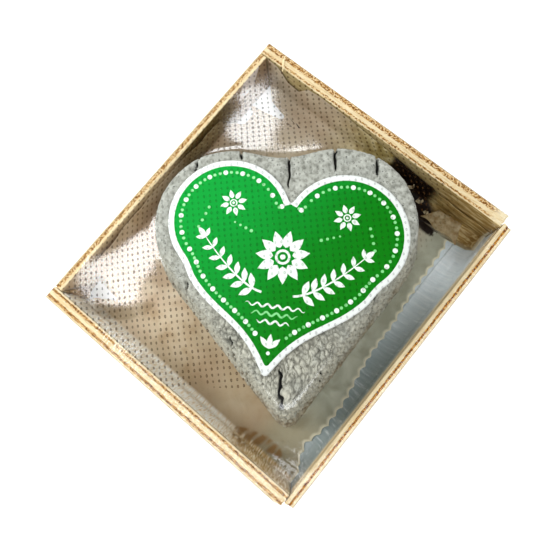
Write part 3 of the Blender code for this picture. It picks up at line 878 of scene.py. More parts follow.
def make_corner_flap():
    """A loose tongue of the sheet at the back right, raised and curled."""
    near_left = np.array([27.6, 46.8, 6.2])
    near_right = np.array([43.6, 45.2, 8.6])
    far_right = np.array([40.6, 52.4, 9.6])
    far_left = np.array([31.6, 52.0, 8.2])
    first, second = np.meshgrid(np.linspace(0, 1, 28), np.linspace(0, 1, 16), indexing="ij")
    a = first.ravel()[:, None]
    b = second.ravel()[:, None]
    points = (near_left * (1 - a) + near_right * a) * (1 - b)
    points = points + (far_left * (1 - a) + far_right * a) * b
    points[:, 2] += 0.9 * np.sin(pi * a[:, 0]) * (1 - b[:, 0])
    points[:, 1] += 0.5 * np.sin(3.3 * pi * a[:, 0]) * (1 - b[:, 0])
    points += 0.16 * random_waves(points, 3.5, 14, 46)[:, None] * (0.3, 0.3, 1.0)
    material = flecked("raised_paper", 0.5, 1.6, 4.0, {0.35: (132, 106, 66), 0.50: (148, 128, 90),
                                                       0.68: (168, 150, 116)}, 0.06)
    add_sheet("paper_corner_flap", points, grid_faces(28, 16), material)


def make_corner_curls():
    """Small pale curls of torn paper that stand up behind the cheese's right lobe."""
    material = flecked("torn_paper", 0.6, 0.7, 3.0, {0.35: (128, 110, 78), 0.65: (196, 182, 150)},
                       0.05)
    curls = ((17.5, 52.0, 8.0, 5.0, 0.4, 0.7), (23.0, 50.4, 7.5, 5.4, -0.2, 0.8),
             (27.6, 49.0, 7.0, 4.2, -0.6, 0.6))
    for index, (x, y, z, length, turn, width) in enumerate(curls):
        run, side = np.meshgrid(np.linspace(0, 1, 18), np.linspace(-1, 1, 7), indexing="ij")
        run = run.ravel()
        side = side.ravel() * (1 - 0.55 * run)
        bow = pi * 0.75 * run
        ahead = length * np.sin(bow) / 2.4
        points = points_from(x + ahead * cos(turn) - width * side * sin(turn),
                             y + ahead * sin(turn) + width * side * cos(turn),
                             z + length * (1 - np.cos(bow)) / 2.4 + 0.3 * side ** 2)
        add_sheet(f"paper_curl_{index + 1}", points, grid_faces(18, 7), material)


# Cracks in the heart's own axes: start, end and half width at each end
CRACKS = (
    (-14.3, 42.0, -14.2, 36.0, 0.5, 0.5), (-28.6, 37.6, -29.9, 32.3, 0.35, 0.45),
    (1.6, 38.0, 1.4, 26.0, 0.55, 0.35), (16.8, 42.0, 16.5, 31.4, 0.55, 0.4),
    (30.4, 37.5, 30.1, 29.2, 0.45, 0.35), (-31.4, -4.6, -33.2, -13.0, 0.55, 0.35),
    (-16.8, -22.0, -17.8, -31.0, 0.35, 0.45), (-13.3, -33.6, -14.4, -37.4, 0.4, 0.35),
    (-1.4, -31.5, -1.7, -46.5, 0.45, 0.95), (11.5, -33.6, 12.2, -38.6, 0.35, 0.3),
    (28.0, -9.0, 29.5, -18.6, 0.6, 0.4))
CRACK_DEPTH = 1.9


def crack_share(x, y, wander):
    """How deep each point lies in a crack, from 0 to 1, in the heart's own axes."""
    deepest = np.zeros_like(x)
    for x1, y1, x2, y2, wide_1, wide_2 in CRACKS:
        start = np.array([x1, y1])
        run = np.array([x2 - x1, y2 - y1])
        length = np.linalg.norm(run)
        along = ((x - start[0]) * run[0] + (y - start[1]) * run[1]) / (length * length)
        aside = ((x - start[0]) * run[1] - (y - start[1]) * run[0]) / length
        jagged = 0.18 + 0.16 * (y2 < -20)
        aside = np.abs(aside + jagged * wander)
        half = wide_1 + (wide_2 - wide_1) * np.clip(along, 0, 1)
        ends = hump(along, (-0.06, 0.12), (0.88, 1.06))
        share = np.clip(1.25 - aside / np.maximum(half * (0.35 + 0.65 * ends), TINY), 0, 1)
        deepest = np.maximum(deepest, share * ends)
    return deepest


def cheese_sections():
    """The section from the top's centre to the foot: share of the radius, inset and height."""
    full_inset = CHEESE_LEAN + SHOULDER_WIDTH
    rings = []
    under_label = np.linspace(0, 0.55, PLATEAU_RINGS[0] + 1)[1:]
    in_view = np.linspace(0.55, 1, PLATEAU_RINGS[1] + 1)[1:]
    for share in np.concatenate([under_label, in_view]):
        rings.append((share, full_inset, CHEESE_TOP))
    for step in range(1, SHOULDER_RINGS + 1):
        turn = pi / 2 * step / SHOULDER_RINGS
        rings.append((1.0, full_inset - SHOULDER_WIDTH * sin(turn),
                      CHEESE_TOP - SHOULDER_DROP * (1 - cos(turn))))
    side_top = CHEESE_TOP - SHOULDER_DROP
    side_foot = CHEESE_BOTTOM + FOOT_ROUND
    for step in range(1, SIDE_RINGS + 1):
        down = step / SIDE_RINGS
        rings.append((1.0, CHEESE_LEAN * (1 - down), side_top + (side_foot - side_top) * down))
    for step in range(1, FOOT_RINGS + 1):
        turn = pi / 2 * step / FOOT_RINGS
        rings.append((1.0, FOOT_ROUND * (1 - cos(turn)), side_foot - FOOT_ROUND * sin(turn)))
    rings.append((0.5, FOOT_ROUND, CHEESE_BOTTOM))
    return rings


def cheese_base():
    """Points of the smooth cheese, ring by ring, in its own axes."""
    angle = CHEESE.even_angles(CHEESE_SPOKES)
    tipward = np.clip(-np.sin(angle), 0, 1) ** 8
    rows = []
    for share, inset, height in cheese_sections():
        rise = (height - CHEESE_BOTTOM) / (CHEESE_TOP - CHEESE_BOTTOM)
        reach = share * CHEESE.radius(angle, inset + TIP_LEAN * tipward * rise)
        rows.append(points_from(reach * np.cos(angle), reach * np.sin(angle), height))
    return np.array(rows)


def outward_normals(rows):
    """Normals of a closed stack of rings."""
    down = np.gradient(rows, axis=0)
    round_it = np.roll(rows, -1, axis=1) - np.roll(rows, 1, axis=1)
    normal = np.cross(down, round_it)
    return normal / np.maximum(np.linalg.norm(normal, axis=2, keepdims=True), 1e-12)


def pebbles(points, spacing, seed):
    """Domes of a cobbled surface: 1 on top of each, 0 in the creases between them."""
    draw = np.random.default_rng(seed)
    low = points.min(0) - spacing
    high = points.max(0) + spacing
    axes = [np.arange(a, b, spacing) for a, b in zip(low, high)]
    centres = np.stack(np.meshgrid(*axes, indexing="ij"), axis=-1).reshape(-1, 3)
    centres += draw.uniform(-0.42, 0.42, centres.shape) * spacing
    tree = KDTree(len(centres))
    for index, centre in enumerate(centres):
        tree.insert(centre, index)
    tree.balance()
    near = np.array([[found[2] for found in tree.find_n(point, 2)] for point in points])
    return np.clip((near[:, 1] - near[:, 0]) / (0.42 * spacing), 0, 1)


def make_cheese():
    rows = cheese_base()
    normals = outward_normals(rows)
    flat = rows.reshape(-1, 3)
    x, y, z = flat.T
    top_share = smooth_step(z, 22, 28)
    tipward = smooth_step(-y, -6, 26)
    sideways = smooth_step(np.abs(x), 30, 40) * smooth_step(12 - y, 0, 14)
    wrinkled = np.clip(np.maximum(tipward, 0.7 * sideways) + 0.35 * (1 - top_share), 0.16, 1)

    bent = flat + 0.30 * np.stack([random_waves(flat, 4, 16, seed) for seed in (56, 57, 58)], axis=1)
    large = pebbles(bent, 2.5, 51)
    small = pebbles(bent, 1.5, 52)
    broad = random_waves(flat, 13, 16, 53)
    grain = random_waves(flat, 1.15, 60, 54)
    lump = 1 - (1 - large) ** 2
    pebble = 1 - (1 - small) ** 2
    crack = crack_share(x, y, random_waves(flat * (1, 1, 0.2), 3.2, 20, 55))
    above_floor = smooth_step(z, CHEESE_BOTTOM + 0.2, CHEESE_BOTTOM + 2.5)
    sink = wrinkled * (0.72 * (1 - lump) + 0.45 * (1 - pebble))
    sink += 0.04 * np.clip(1 + grain, 0, 2) * (0.4 + 0.6 * wrinkled)
    sink += 0.16 * np.clip(1 - broad, 0, 2) * (0.5 + 0.5 * (1 - top_share))
    sink = sink + CRACK_DEPTH * crack * (0.35 + 0.65 * smooth_step(z, 3, 12))
    moved = flat - normals.reshape(-1, 3) * (sink * above_floor)[:, None]

    points = points_from(*CHEESE.to_tray(moved[:, 0], moved[:, 1]), moved[:, 2])
    count = len(points)
    middle = CHEESE.to_tray(0, 0)
    points = np.vstack([points, [*middle, CHEESE_TOP - 0.2], [*middle, CHEESE_BOTTOM]])
    faces = [tuple(reversed(f)) for f in grid_faces(len(rows), CHEESE_SPOKES, wrap=True)]
    last = count - CHEESE_SPOKES
    for spoke in range(CHEESE_SPOKES):
        following = (spoke + 1) % CHEESE_SPOKES
        faces.append((count, spoke, following))
        faces.append((count + 1, last + following, last + spoke))
    mesh = mesh_from("cheese", points, faces)

    patchy = np.clip(0.55 + 0.45 * broad, 0, 1)
    # Painted shade in the creases between the pebbles.
    crease_shade = np.maximum(np.clip(1 - large / 0.48, 0, 1), 0.7 * np.clip(1 - small / 0.42, 0, 1))
    crease_shade *= wrinkled * (0.55 + 0.45 * patchy)
    foot = 1 - smooth_step(z, 5, 15)
    right_low = smooth_step(x, 4, 18) * smooth_step(12 - y, 0, 20)
    tip = smooth_step(-y, 36, 45)
    stain = np.clip(foot * np.maximum(0.25, np.maximum(right_low, tip)), 0, 1)
    layers = {"crack": crack * above_floor, "crease_shade": crease_shade, "stain": stain, "wrinkled": wrinkled}
    for name, values in layers.items():
        set_attribute(mesh, name, np.append(values, [0.0, 0.0]))
    add_piece("cheese", mesh, ash_rind(), "cheese")


def ash_rind():
    look = Look("ash_rind", 0.88, Specular_IOR_Level=0.2)
    cloud = look.noise(8.0, 4.0, distortion=0.3)
    mottle = look.noise(1.7, 3.0)
    fine = look.noise(0.5, 2.0)
    speck = look.cells(1.15)
    pale = look.ramp(mottle, {0.32: (122, 123, 115), 0.48: (166, 167, 158), 0.70: (198, 199, 190)})
    pale = look.mix(look.attribute("wrinkled"), pale, (206, 202, 184), 0.75)
    shade = look.mix(look.between(cloud, 0.48, 0.72), pale, (148, 150, 142), 0.5)
    fuzz = look.mix(look.between(fine, 0.5, 0.75), shade, (214, 215, 205), 0.4)
    smooth_part = look.inverse(look.attribute("wrinkled"))
    dotted = look.inverse(look.between(speck, 0.10, 0.26))
    dotted = look.times(dotted, look.between(mottle, 0.44, 0.56))
    dotted = look.times(dotted, look.add(0.30, smooth_part))
    colour = look.mix(dotted, fuzz, (78, 80, 78))
    # Painted shade in the creases.
    crease_shade = look.times(look.attribute("crease_shade"), 0.85)
    colour = look.mix(crease_shade, colour, (76, 75, 66))
    tan = look.ramp(mottle, {0.35: (124, 102, 72), 0.65: (180, 164, 136)})
    stain = look.times(look.attribute("stain"), look.between(cloud, 0.25, 0.6))
    colour = look.mix(stain, colour, tan, 0.75)
    # Painted shade with dirt deep in the cracks.
    dark = look.between(look.attribute("crack"), 0.12, 0.7)
    colour = look.mix(dark, colour, (22, 22, 19))
    look.colour(colour)
    relief = look.add(mottle, look.times(fine, 0.5))
    look.bump(relief, 0.13)
    return look.material


def label_height(x, y):
    """The label lies almost flat, with faint swells."""
    spots = points_from(x, y, 0)
    swell = 0.05 * random_waves(spots, 21, 10, 61)
    droop = 0.16 * smooth_step(-np.ravel(y), 18, 30)
    return (LABEL_LEVEL + swell - droop).reshape(np.shape(x))


def label_material(name, glare_colour, right_colour):
    look = Look(name, 0.6, Specular_IOR_Level=0.1)
    fibre = look.noise(0.5, 3.0)
    cloud = look.noise(12.0, 2.0)
    along = look.add(look.axis(0), look.times(cloud, 14.0))
    # Painted glare: the left side is lighter than the right side's own colour.
    look.colour(look.mix(look.between(along, -28.0, 30.0), glare_colour, right_colour))
    look.bump(fibre, 0.015)
    return look.material


def make_label():
    angle = LABEL.even_angles(LABEL_SPOKES, start=pi / 2)
    inner = LABEL.radius(angle, BORDER_WIDTH)
    outer = LABEL.radius(angle, 0)
    rings = [inner * share for share in np.linspace(0.04, 1, 22)]
    green_rings = len(rings)
    rings += [inner + (outer - inner) * share for share in np.linspace(0, 1, 5)[1:]]
    x = np.array([reach * np.cos(angle) for reach in rings])
    y = np.array([reach * np.sin(angle) for reach in rings])
    z = label_height(x, y)
    points = points_from(*LABEL.to_tray(x, y), z)
    faces = [tuple(reversed(f)) for f in grid_faces(len(rings), LABEL_SPOKES, wrap=True)]
    points = np.vstack([points, [*LABEL.to_tray(0, 0), float(label_height(0.0, 0.0))]])
    for spoke in range(LABEL_SPOKES):
        faces.append((len(points) - 1, spoke, (spoke + 1) % LABEL_SPOKES))
    mesh = mesh_from("label", points, faces)
    mesh.materials.append(label_material("label_green", (10, 164, 58), (3, 124, 6)))
    mesh.materials.append(label_material("label_white", (246, 248, 245), (232, 234, 230)))
    border_start = (green_rings - 1) * LABEL_SPOKES
    for face in mesh.polygons:
        ring_face = face.index < (len(rings) - 1) * LABEL_SPOKES
        face.material_index = 1 if ring_face and face.index >= border_start else 0
    thicken(add_piece("label", mesh, None, "label"), LABEL_THICKNESS, -1.0)


class Print:
    """Flat printed shapes on the label, drawn in the label's own axes."""

    def __init__(self):
        self.points = []
        self.faces = []
        self.tints = []

    def shape(self, outline, tint=0):
        first = len(self.points)
        self.points += [tuple(p) for p in outline]
        self.faces.append(tuple(range(first, first + len(outline))))
        self.tints.append(tint)

    def ribbon(self, line, widths, tint=0):
        """A stroke along a line, as a chain of quads."""
        line = np.array(line, float)
        run = np.gradient(line, axis=0)
        run /= np.linalg.norm(run, axis=1, keepdims=True)
        side = np.stack([-run[:, 1], run[:, 0]], axis=1) * np.array(widths)[:, None] / 2
        for here in range(len(line) - 1):
            following = here + 1
            self.shape([line[here] - side[here], line[following] - side[following],
                        line[following] + side[following], line[here] + side[here]], tint)

    def disc(self, x, y, radius, tint=0, sides=16):
        turns = np.linspace(0, 2 * pi, sides, endpoint=False)
        self.shape([(x + radius * cos(t), y + radius * sin(t)) for t in turns], tint)

    def ring(self, x, y, radius, width, tint=0, sides=40):
        turns = np.linspace(0, 2 * pi, sides + 1)
        line = [(x + radius * cos(t), y + radius * sin(t)) for t in turns]
        self.ribbon(line, [width] * len(line), tint)

    def leaf(self, x, y, turn, length, width, tint=0, blunt=1.0):
        """A pointed oval from its stalk end at x, y."""
        shares = np.linspace(0, 1, 11)
        half = width / 2 * np.sin(pi * shares ** blunt)
        upper = list(zip(length * shares, half))
        lower = list(zip(length * shares[-2:0:-1], -half[-2:0:-1]))
        cos_turn = cos(turn)
        sin_turn = sin(turn)
        self.shape([(x + a * cos_turn - b * sin_turn, y + a * sin_turn + b * cos_turn)
                    for a, b in lower[::-1] + upper[::-1]], tint)


def draw_sprig(art, side):
    """A curved stem with paired leaves that grows outwards from the middle."""
    shares = np.linspace(0, 1, 15)
    stem_x = side * (5.0 + 20.5 * shares)
    stem_y = -5.5 + 15.0 * shares ** 1.5
    art.ribbon(list(zip(stem_x, stem_y)), np.linspace(0.75, 0.3, len(shares)))
    for index in range(2, len(shares), 2):
        heading = atan2(stem_y[index] - stem_y[index - 1], stem_x[index] - stem_x[index - 1])
        size = 5.2 - 1.9 * shares[index]
        for lean in (0.95, -0.95):
            art.leaf(stem_x[index], stem_y[index], heading + lean, size, 0.42 * size)
    art.leaf(stem_x[-1], stem_y[-1], atan2(1.0, side * 1.0), 4.2, 1.8)


def draw_daisy(art, x, y, size, petals):
    for petal in range(petals):
        turn = 2 * pi * (petal + 0.5) / petals
        art.leaf(x + 0.36 * size * cos(turn), y + 0.36 * size * sin(turn), turn,
                 0.66 * size, 0.36 * size, blunt=0.72)
    art.ring(x, y, 0.24 * size, 0.09 * size)
    art.disc(x, y, 0.10 * size)


def draw_print():
    art = Print()
    draw_daisy(art, 0.0, 6.5, 8.6, 11)
    draw_sprig(art, 1)
    draw_sprig(art, -1)
    draw_daisy(art, -18.5, 22.0, 4.4, 8)
    draw_daisy(art, 18.5, 22.0, 4.4, 8)
    for side in (1, -1):
        for step in range(4):
            art.disc(side * (11.3 + 1.9 * step), 13.6 + 0.7 * step, 0.55 - 0.07 * step, 1)
            art.disc(side * (26.2 + 0.75 * step), 19.5 - 2.3 * step, 0.5, 1)
    wave_x = np.linspace(-1, 1, 41)
    for row, (half, level) in enumerate(((9.5, -9.5), (7.4, -12.0), (5.2, -14.5))):
        line = [(half * t, level + 0.55 * sin(3.1 * pi * t * half / 5)) for t in wave_x]
        art.ribbon(line, 0.62 * np.cos(wave_x * pi / 2) ** 0.5 + 0.05, row % 2)
    for turn in (-0.75, 0.0, 0.75):
        art.leaf(0.0, -22.6, pi / 2 + turn, 4.6, 1.7)
    art.disc(0.0, -24.0, 0.6)
    outline = LABEL.even_angles(118, start=pi / 2)
    reach = LABEL.radius(outline, DOTS_INSET)
    for index, (turn, radius) in enumerate(zip(outline, reach)):
        height = radius * sin(turn)
        gap = LABEL.distance(radius * cos(turn), height)
        if height > -19 and gap < -3.4:
            size = 0.52 if index % 3 else 0.82
            art.disc(radius * cos(turn), height, size, 1 if index % 3 else 0, 12)
    return art


def make_print():
    art = draw_print()
    flat = np.array(art.points)
    points = points_from(*LABEL.to_tray(*flat.T), label_height(*flat.T) + PRINT_LIFT)
    mesh = mesh_from("label_print", points, art.faces)
    mesh.materials.append(label_material("print_white", (244, 250, 242), (236, 246, 234)))
    mesh.materials.append(label_material("print_pale_green", (158, 232, 164), (132, 216, 136)))
    for face, tint in zip(mesh.polygons, art.tints):
        face.material_index = tint
    turn_up(mesh)
    add_piece("label_print", mesh, None)


def turn_up(mesh):
    """Split flat shapes into triangles that all face upwards."""
    bm = bmesh.new()
    bm.from_mesh(mesh)
    bmesh.ops.triangulate(bm, faces=bm.faces[:])
    bm.normal_update()
    bmesh.ops.reverse_faces(bm, faces=[face for face in bm.faces if face.normal.z < 0])
    bm.to_mesh(mesh)
    bm.free()
    mesh.shade_flat()


def film_surface():
    """Stretch the film between the tray's rim and the cheese, on a fine grid."""
    x_lines, y_lines = (np.linspace(-half, half, round(2 * half / FILM_CELL) + 1)
                        for half in (FILM_HALF_WIDTH, FILM_HALF_LENGTH))
    x, y = np.meshgrid(x_lines, y_lines, indexing="ij")
    past_cheese = CHEESE.distance(*CHEESE.from_tray(x, y)) + CHEESE_LEAN + SHOULDER_WIDTH
    past_label = LABEL.distance(*LABEL.from_tray(x, y))
    past = np.minimum(past_cheese - FILM_MARGIN, past_label - LABEL_MARGIN)
    held = FILM_TOP - FILM_SLOPE * np.maximum(past, 0)
    level = np.maximum(held, FILM_RIM)
    glued = (x < LEFT_FACE) | (x > RIGHT_FACE) | (np.abs(y) > HALF_INNER)
    for _ in range(FILM_PASSES):
        middle = (level[:-2, 1:-1] + level[2:, 1:-1] + level[1:-1, :-2] + level[1:-1, 2:]) / 4
        middle = 0.85 * middle + 0.15 * level[1:-1, 1:-1]
        level[1:-1, 1:-1] = np.maximum(middle, held[1:-1, 1:-1])
        level[glued] = FILM_RIM
    for _ in range(2):
        level[1:-1] = (level[:-2] + 2 * level[1:-1] + level[2:]) / 4
        level[:, 1:-1] = (level[:, :-2] + 2 * level[:, 1:-1] + level[:, 2:]) / 4
    return x_lines, y_lines, level


def curve_shares(t):
    """Shares of four grid lines in a smooth curve between the middle two."""
    return ((1 - t) ** 3 / 6, (3 * t ** 3 - 6 * t ** 2 + 4) / 6,
            (-3 * t ** 3 + 3 * t ** 2 + 3 * t + 1) / 6, t ** 3 / 6)


def grid_place(values, lines):
    """Values kept between the outer lines, the line before each and the share past it."""
    values = np.clip(values, lines[0], lines[-1])
    steps = (values - lines[0]) / (lines[1] - lines[0])
    before = np.clip(steps.astype(int), 0, len(lines) - 2)
    return values, before, steps - before


def film_heights(points, surface):
    """Read the stretched surface at points, and pull small tension folds into it."""
    x_lines, y_lines, level = surface
    x, column, across = grid_place(points[:, 0], x_lines)
    y, row, along = grid_place(points[:, 1], y_lines)
    z = np.zeros(len(x))
    for step_x, share_x in enumerate(curve_shares(across)):
        near_x = np.clip(column + step_x - 1, 0, len(x_lines) - 1)
        for step_y, share_y in enumerate(curve_shares(along)):
            near_y = np.clip(row + step_y - 1, 0, len(y_lines) - 1)
            z += share_x * share_y * level[near_x, near_y]
    free = hump(z, (FILM_RIM + 0.05, FILM_RIM + 1.0), (FILM_TOP - 1.5, FILM_TOP - 0.3))
    spots = points_from(x, y, 0)
    near_right = np.exp((x - RIGHT_FACE) / 9)
    near_front = np.exp(-(y + HALF_INNER) / 7) * smooth_step(x, -36, -20)
    pull_right = random_waves(spots * (0.25, 1, 1), 2.6, 24, 71)
    pull_ends = random_waves(spots * (1, 0.25, 1), 2.6, 24, 72)
    slack = random_waves(spots, 15, 14, 73)
    folds = 0.10 * pull_right * near_right + 0.06 * pull_ends * near_front + 0.07 * slack
    return z + folds * free


# Steps from a cell's middle to its corners and the middles of its sides, in half cells
CELL_CORNERS = ((1, 0), (1, 1), (0, 1), (-1, 1), (-1, 0), (-1, -1), (0, -1), (1, -1))


def perforated_sheet():
    """A flat square lattice of small cells, each with an eight-sided hole and its bead."""
    reach = int(hypot(FILM_HALF_WIDTH, FILM_HALF_LENGTH) / HOLE_PITCH) + 1
    diagonal = sqrt(0.5)
    shared = {}
    points = []
    faces = []
    kinds = []
    draw = np.random.default_rng(81)

    def shared_point(u, v):
        key = (round(2 * u), round(2 * v))
        if key not in shared:
            shared[key] = len(points)
            points.append((u, v, 0.0))
        return shared[key]

    for i in range(-reach, reach + 1):
        for j in range(-reach, reach + 1):
            size = draw.uniform(0.8, 1.15)
            shift = draw.normal(0, 0.025, 2)
            x = (i - j) * diagonal * HOLE_PITCH
            y = (i + j) * diagonal * HOLE_PITCH
            if abs(x) > FILM_HALF_WIDTH + HOLE_PITCH or abs(y) > FILM_HALF_LENGTH + HOLE_PITCH:
                continue
            rings = [[shared_point(i + step_u / 2, j + step_v / 2) for step_u, step_v in CELL_CORNERS]]
            for radius, lift in ((0.31 * HOLE_PITCH, 0), (BEAD_RADIUS * size, 0),
                                 (HOLE_RADIUS * size, BEAD_LIFT)):
                ring = []
                for side in range(HOLE_SIDES):
                    turn = 2 * pi / HOLE_SIDES * side
                    ring.append(len(points))
                    step_u = 0.84 * radius / HOLE_PITCH * cos(turn)
                    step_v = 1.25 * radius / HOLE_PITCH * sin(turn)
                    points.append((i + shift[0] + step_u, j + shift[1] + step_v, lift))
                rings.append(ring)
            for level in range(3):
                for side in range(HOLE_SIDES):
                    following = (side + 1) % HOLE_SIDES
                    faces.append((rings[level][side], rings[level][following],
                                  rings[level + 1][following], rings[level + 1][side]))
                    kinds.append(BEAD if level == 2 else CLEAR)
    flat = np.array(points)
    lattice_u = flat[:, 0] * HOLE_PITCH
    lattice_v = flat[:, 1] * HOLE_PITCH
    flat[:, 0] = (lattice_u - lattice_v) * diagonal
    flat[:, 1] = (lattice_u + lattice_v) * diagonal
    return flat, faces, kinds


def trim_sheet(mesh):
    """Cut the lattice to the tray's outline and mark its cut edge."""
    bm = bmesh.new()
    bm.from_mesh(mesh)
    for axis, half in ((0, FILM_HALF_WIDTH), (1, FILM_HALF_LENGTH)):
        for sign in (-1, 1):
            normal = [0.0, 0.0, 0.0]
            normal[axis] = sign
            for inset, clear in ((0.0, True), (FILM_EDGE, False)):
                place = [0.0, 0.0, 0.0]
                place[axis] = sign * (half - inset)
                everything = bm.verts[:] + bm.edges[:] + bm.faces[:]
                bmesh.ops.bisect_plane(bm, geom=everything, plane_co=place, plane_no=normal,
                                       clear_outer=clear, dist=1e-4)
    for face in bm.faces:
        middle = face.calc_center_median()
        past_x = abs(middle.x) > FILM_HALF_WIDTH - FILM_EDGE
        if past_x or abs(middle.y) > FILM_HALF_LENGTH - FILM_EDGE:
            face.material_index = CUT_EDGE
    bm.to_mesh(mesh)
    bm.free()


# Each bead's material: name, alpha, darker and lighter colour; their darkness is partly painted shade
# and is set per region
BEADS = (("film_bead", 0.86, (54, 34, 14), (72.9, 47.3, 21.8)),
         ("film_bead_thin", 0.42, (18, 16, 6), (26.9, 24.3, 10.8)),
         ("film_bead_faint", 0.14, (44, 34, 20), (60.1, 47.3, 29.4)))


def film_looks():
    """The film's materials in the order of their numbers: clear, bead, cut edge, paler beads."""
    film = Look("clear_film", 0.16)
    pulls_x = film.noise(0.55, 2.0, (0.09, 1.0, 0.09))
    pulls_y = film.noise(0.55, 2.0, (1.0, 0.09, 0.09))
    by_right = film.along(0, 38.0, 50.0)
    forwards = film.times(film.axis(1), -1.0)
    by_front = film.times(film.between(forwards, 47.0, 55.0), film.along(0, -38.0, -20.0))
    in_corner = film.between(film.add(film.axis(0), film.axis(1)), 62.0, 84.0)
    puckers = film.noise(1.3, 2.0, (0.35, 1.0, 0.5), 0.5)
    height = film.add(film.times(pulls_x, by_right), film.times(pulls_y, by_front))
    height = film.add(height, film.times(puckers, in_corner))
    height = film.add(height, film.times(film.noise(9.0, 0.0), 0.15))
    normal = film.bump(height, 0.30)
    gloss = film.node("BsdfAnisotropic", "BSDF", {"Color": (255, 255, 255), "Normal": normal,
                                                  "Roughness": FILM_ROUGHNESS})
    clear = film.node("BsdfTransparent", "BSDF", {"Color": FILM_TINT})
    facing = film.node("LayerWeight", "Facing", {"Blend": 0.5, "Normal": normal})
    share = film.times(film.math("POWER", facing, 5.0), GRAZING_GLOSS)
    share = film.add(share, FACING_GLOSS)
    surface = film.node("MixShader", "Shader", {"Fac": share, 1: clear, 2: gloss})
    film.feed(film.tree.nodes["Material Output"].inputs["Surface"], surface)
    film.tree.nodes.remove(film.shader)

    beads = [flecked(name, 0.22, 2.5, 2.0, {0.35: dark, 0.7: light}, Alpha=alpha)
             for name, alpha, dark, light in BEADS]
    edge = flecked("film_edge", 0.3, 3.0, 2.0, {0.35: (150, 150, 146), 0.7: (206, 206, 200)},
                   Alpha=0.45)
    return film.material, beads[0], edge, beads[1], beads[2]


def bead_kind(x, y, z):
    """The film's material at a hole: its beads are clear on the rims and faint at the right, their
    painted shade set by region.
    """
    if x < LEFT_FACE or x > RIGHT_FACE or abs(y) > HALF_INNER:
        return CLEAR
    by_tip = CHEESE.from_tray(x, y)[1] < TIP_FROM_Y
    if x > FAINT_FROM_X or by_tip or (y < -45 and x > 6):
        return FAINT_BEAD
    if x > THIN_FROM_X or z > FILM_TOP - 0.5:
        return THIN_BEAD
    return BEAD


def make_film():
    flat, faces, kinds = perforated_sheet()
    surface = film_surface()
    mesh = mesh_from("film", flat, faces, scale=1)
    mesh.polygons.foreach_set("material_index", kinds)
    trim_sheet(mesh)
    places = np.zeros(3 * len(mesh.vertices))
    mesh.vertices.foreach_get("co", places)
    places = places.reshape(-1, 3)
    slopes = [film_heights(places + step, surface) - film_heights(places - step, surface)
              for step in ((SLOPE_REACH, 0, 0), (0, SLOPE_REACH, 0))]
    normals = points_from(-slopes[0], -slopes[1], 2 * SLOPE_REACH)
    normals /= np.linalg.norm(normals, axis=1, keepdims=True)
    places[:, 2] += film_heights(places, surface)
    mesh.vertices.foreach_set("co", places.ravel() * MM)
    mesh.normals_split_custom_set_from_vertices(normals.tolist())
    for face in mesh.polygons:
        if face.material_index == BEAD:
            face.material_index = bead_kind(*(face.center / MM))
    for material in film_looks():
        mesh.materials.append(material)
    add_piece("film", mesh, None, "film")


# Each lamp: name, place, target and size in metres, and watts
LAMPS = (
    ("left_window", (-0.279, -0.174, 0.195), (-0.035, -0.030, 0.025), (0.140, 0.227), 0.94),
    ("back_window", (-0.288, 0.235, 0.199), (-0.038, 0.025, 0.025), (0.137, 0.164), 0.62),
    ("high_window", (0.199, -0.199, 0.550), (0, 0, 0.020), (0.3, 0.3), 1.15),
)
LAMP_COLOUR = (0.95, 0.98, 1.0)
SKY_COLOUR = (0.97, 0.98, 1.0, 1.0)
SKY_STRENGTH = 0.86
FLOOR_GLOW = 0.35
FLOOR_SIZE = 3.0


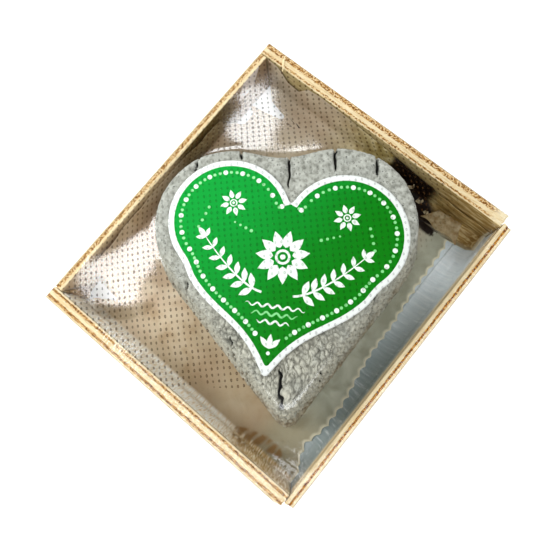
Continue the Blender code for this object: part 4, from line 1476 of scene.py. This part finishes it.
def make_studio():
    bpy.ops.mesh.primitive_plane_add(size=FLOOR_SIZE, location=(0, 0, -0.02 * MM))
    floor = bpy.context.active_object
    floor.name = "studio_floor"
    look = Look("studio_floor", 0.8, Specular_IOR_Level=0.1, Emission_Strength=FLOOR_GLOW,
                Emission_Color=(1.0, 1.0, 1.0, 1.0))
    look.colour((250, 250, 250))
    floor.data.materials.append(look.material)
    floor.visible_glossy = False

    world = bpy.data.worlds.new("studio")
    world.use_nodes = True
    sky = world.node_tree.nodes["Background"]
    sky.inputs["Color"].default_value = SKY_COLOUR
    sky.inputs["Strength"].default_value = SKY_STRENGTH
    world.cycles_visibility.glossy = False
    bpy.context.scene.world = world

    for lamp in LAMPS:
        add_lamp(*lamp)


def add_lamp(name, place, target, size, power):
    lamp = bpy.data.lights.new(name, "AREA")
    lamp.shape = "RECTANGLE"
    lamp.size, lamp.size_y = size
    lamp.energy = power
    lamp.color = LAMP_COLOUR
    holder = bpy.data.objects.new(name, lamp)
    bpy.context.scene.collection.objects.link(holder)
    backwards = np.array(place) - np.array(target)
    backwards /= np.linalg.norm(backwards)
    right = np.cross((0, 0, 1), backwards)
    right /= np.linalg.norm(right)
    up = np.cross(backwards, right)
    pose = np.eye(4)
    pose[:3, :3] = np.stack([right, up, backwards], axis=1)
    pose[:3, 3] = place
    holder.matrix_world = Matrix(pose.tolist())


CAMERA_PLACE = (25.42 * MM, -19.80 * MM, 184.73 * MM)
CAMERA_TURNS = (-5.4, -8.7, -39.0)
FRAME_FOCUS = 500 / 540


def make_camera():
    turn_x, turn_y, turn_z = (Matrix.Rotation(radians(angle), 3, axis)
                              for angle, axis in zip(CAMERA_TURNS, "XYZ"))
    to_camera = turn_z @ turn_y @ turn_x
    camera = bpy.data.cameras.new("photo_camera")
    camera.sensor_width = 36.0
    camera.lens = FRAME_FOCUS * camera.sensor_width
    camera.clip_start = 0.001
    holder = bpy.data.objects.new("photo_camera", camera)
    bpy.context.scene.collection.objects.link(holder)
    holder.matrix_world = Matrix.Translation(CAMERA_PLACE) @ to_camera.transposed().to_4x4()
    bpy.context.scene.camera = holder


def main():
    bpy.context.scene.view_settings.view_transform = "Standard"
    make_boards()
    make_sliver()
    make_floor_board()
    make_right_lining()
    make_paper()
    make_corner_fold()
    make_corner_flap()
    make_corner_curls()
    make_cheese()
    make_label()
    make_print()
    make_film()
    make_studio()
    make_camera()


main()
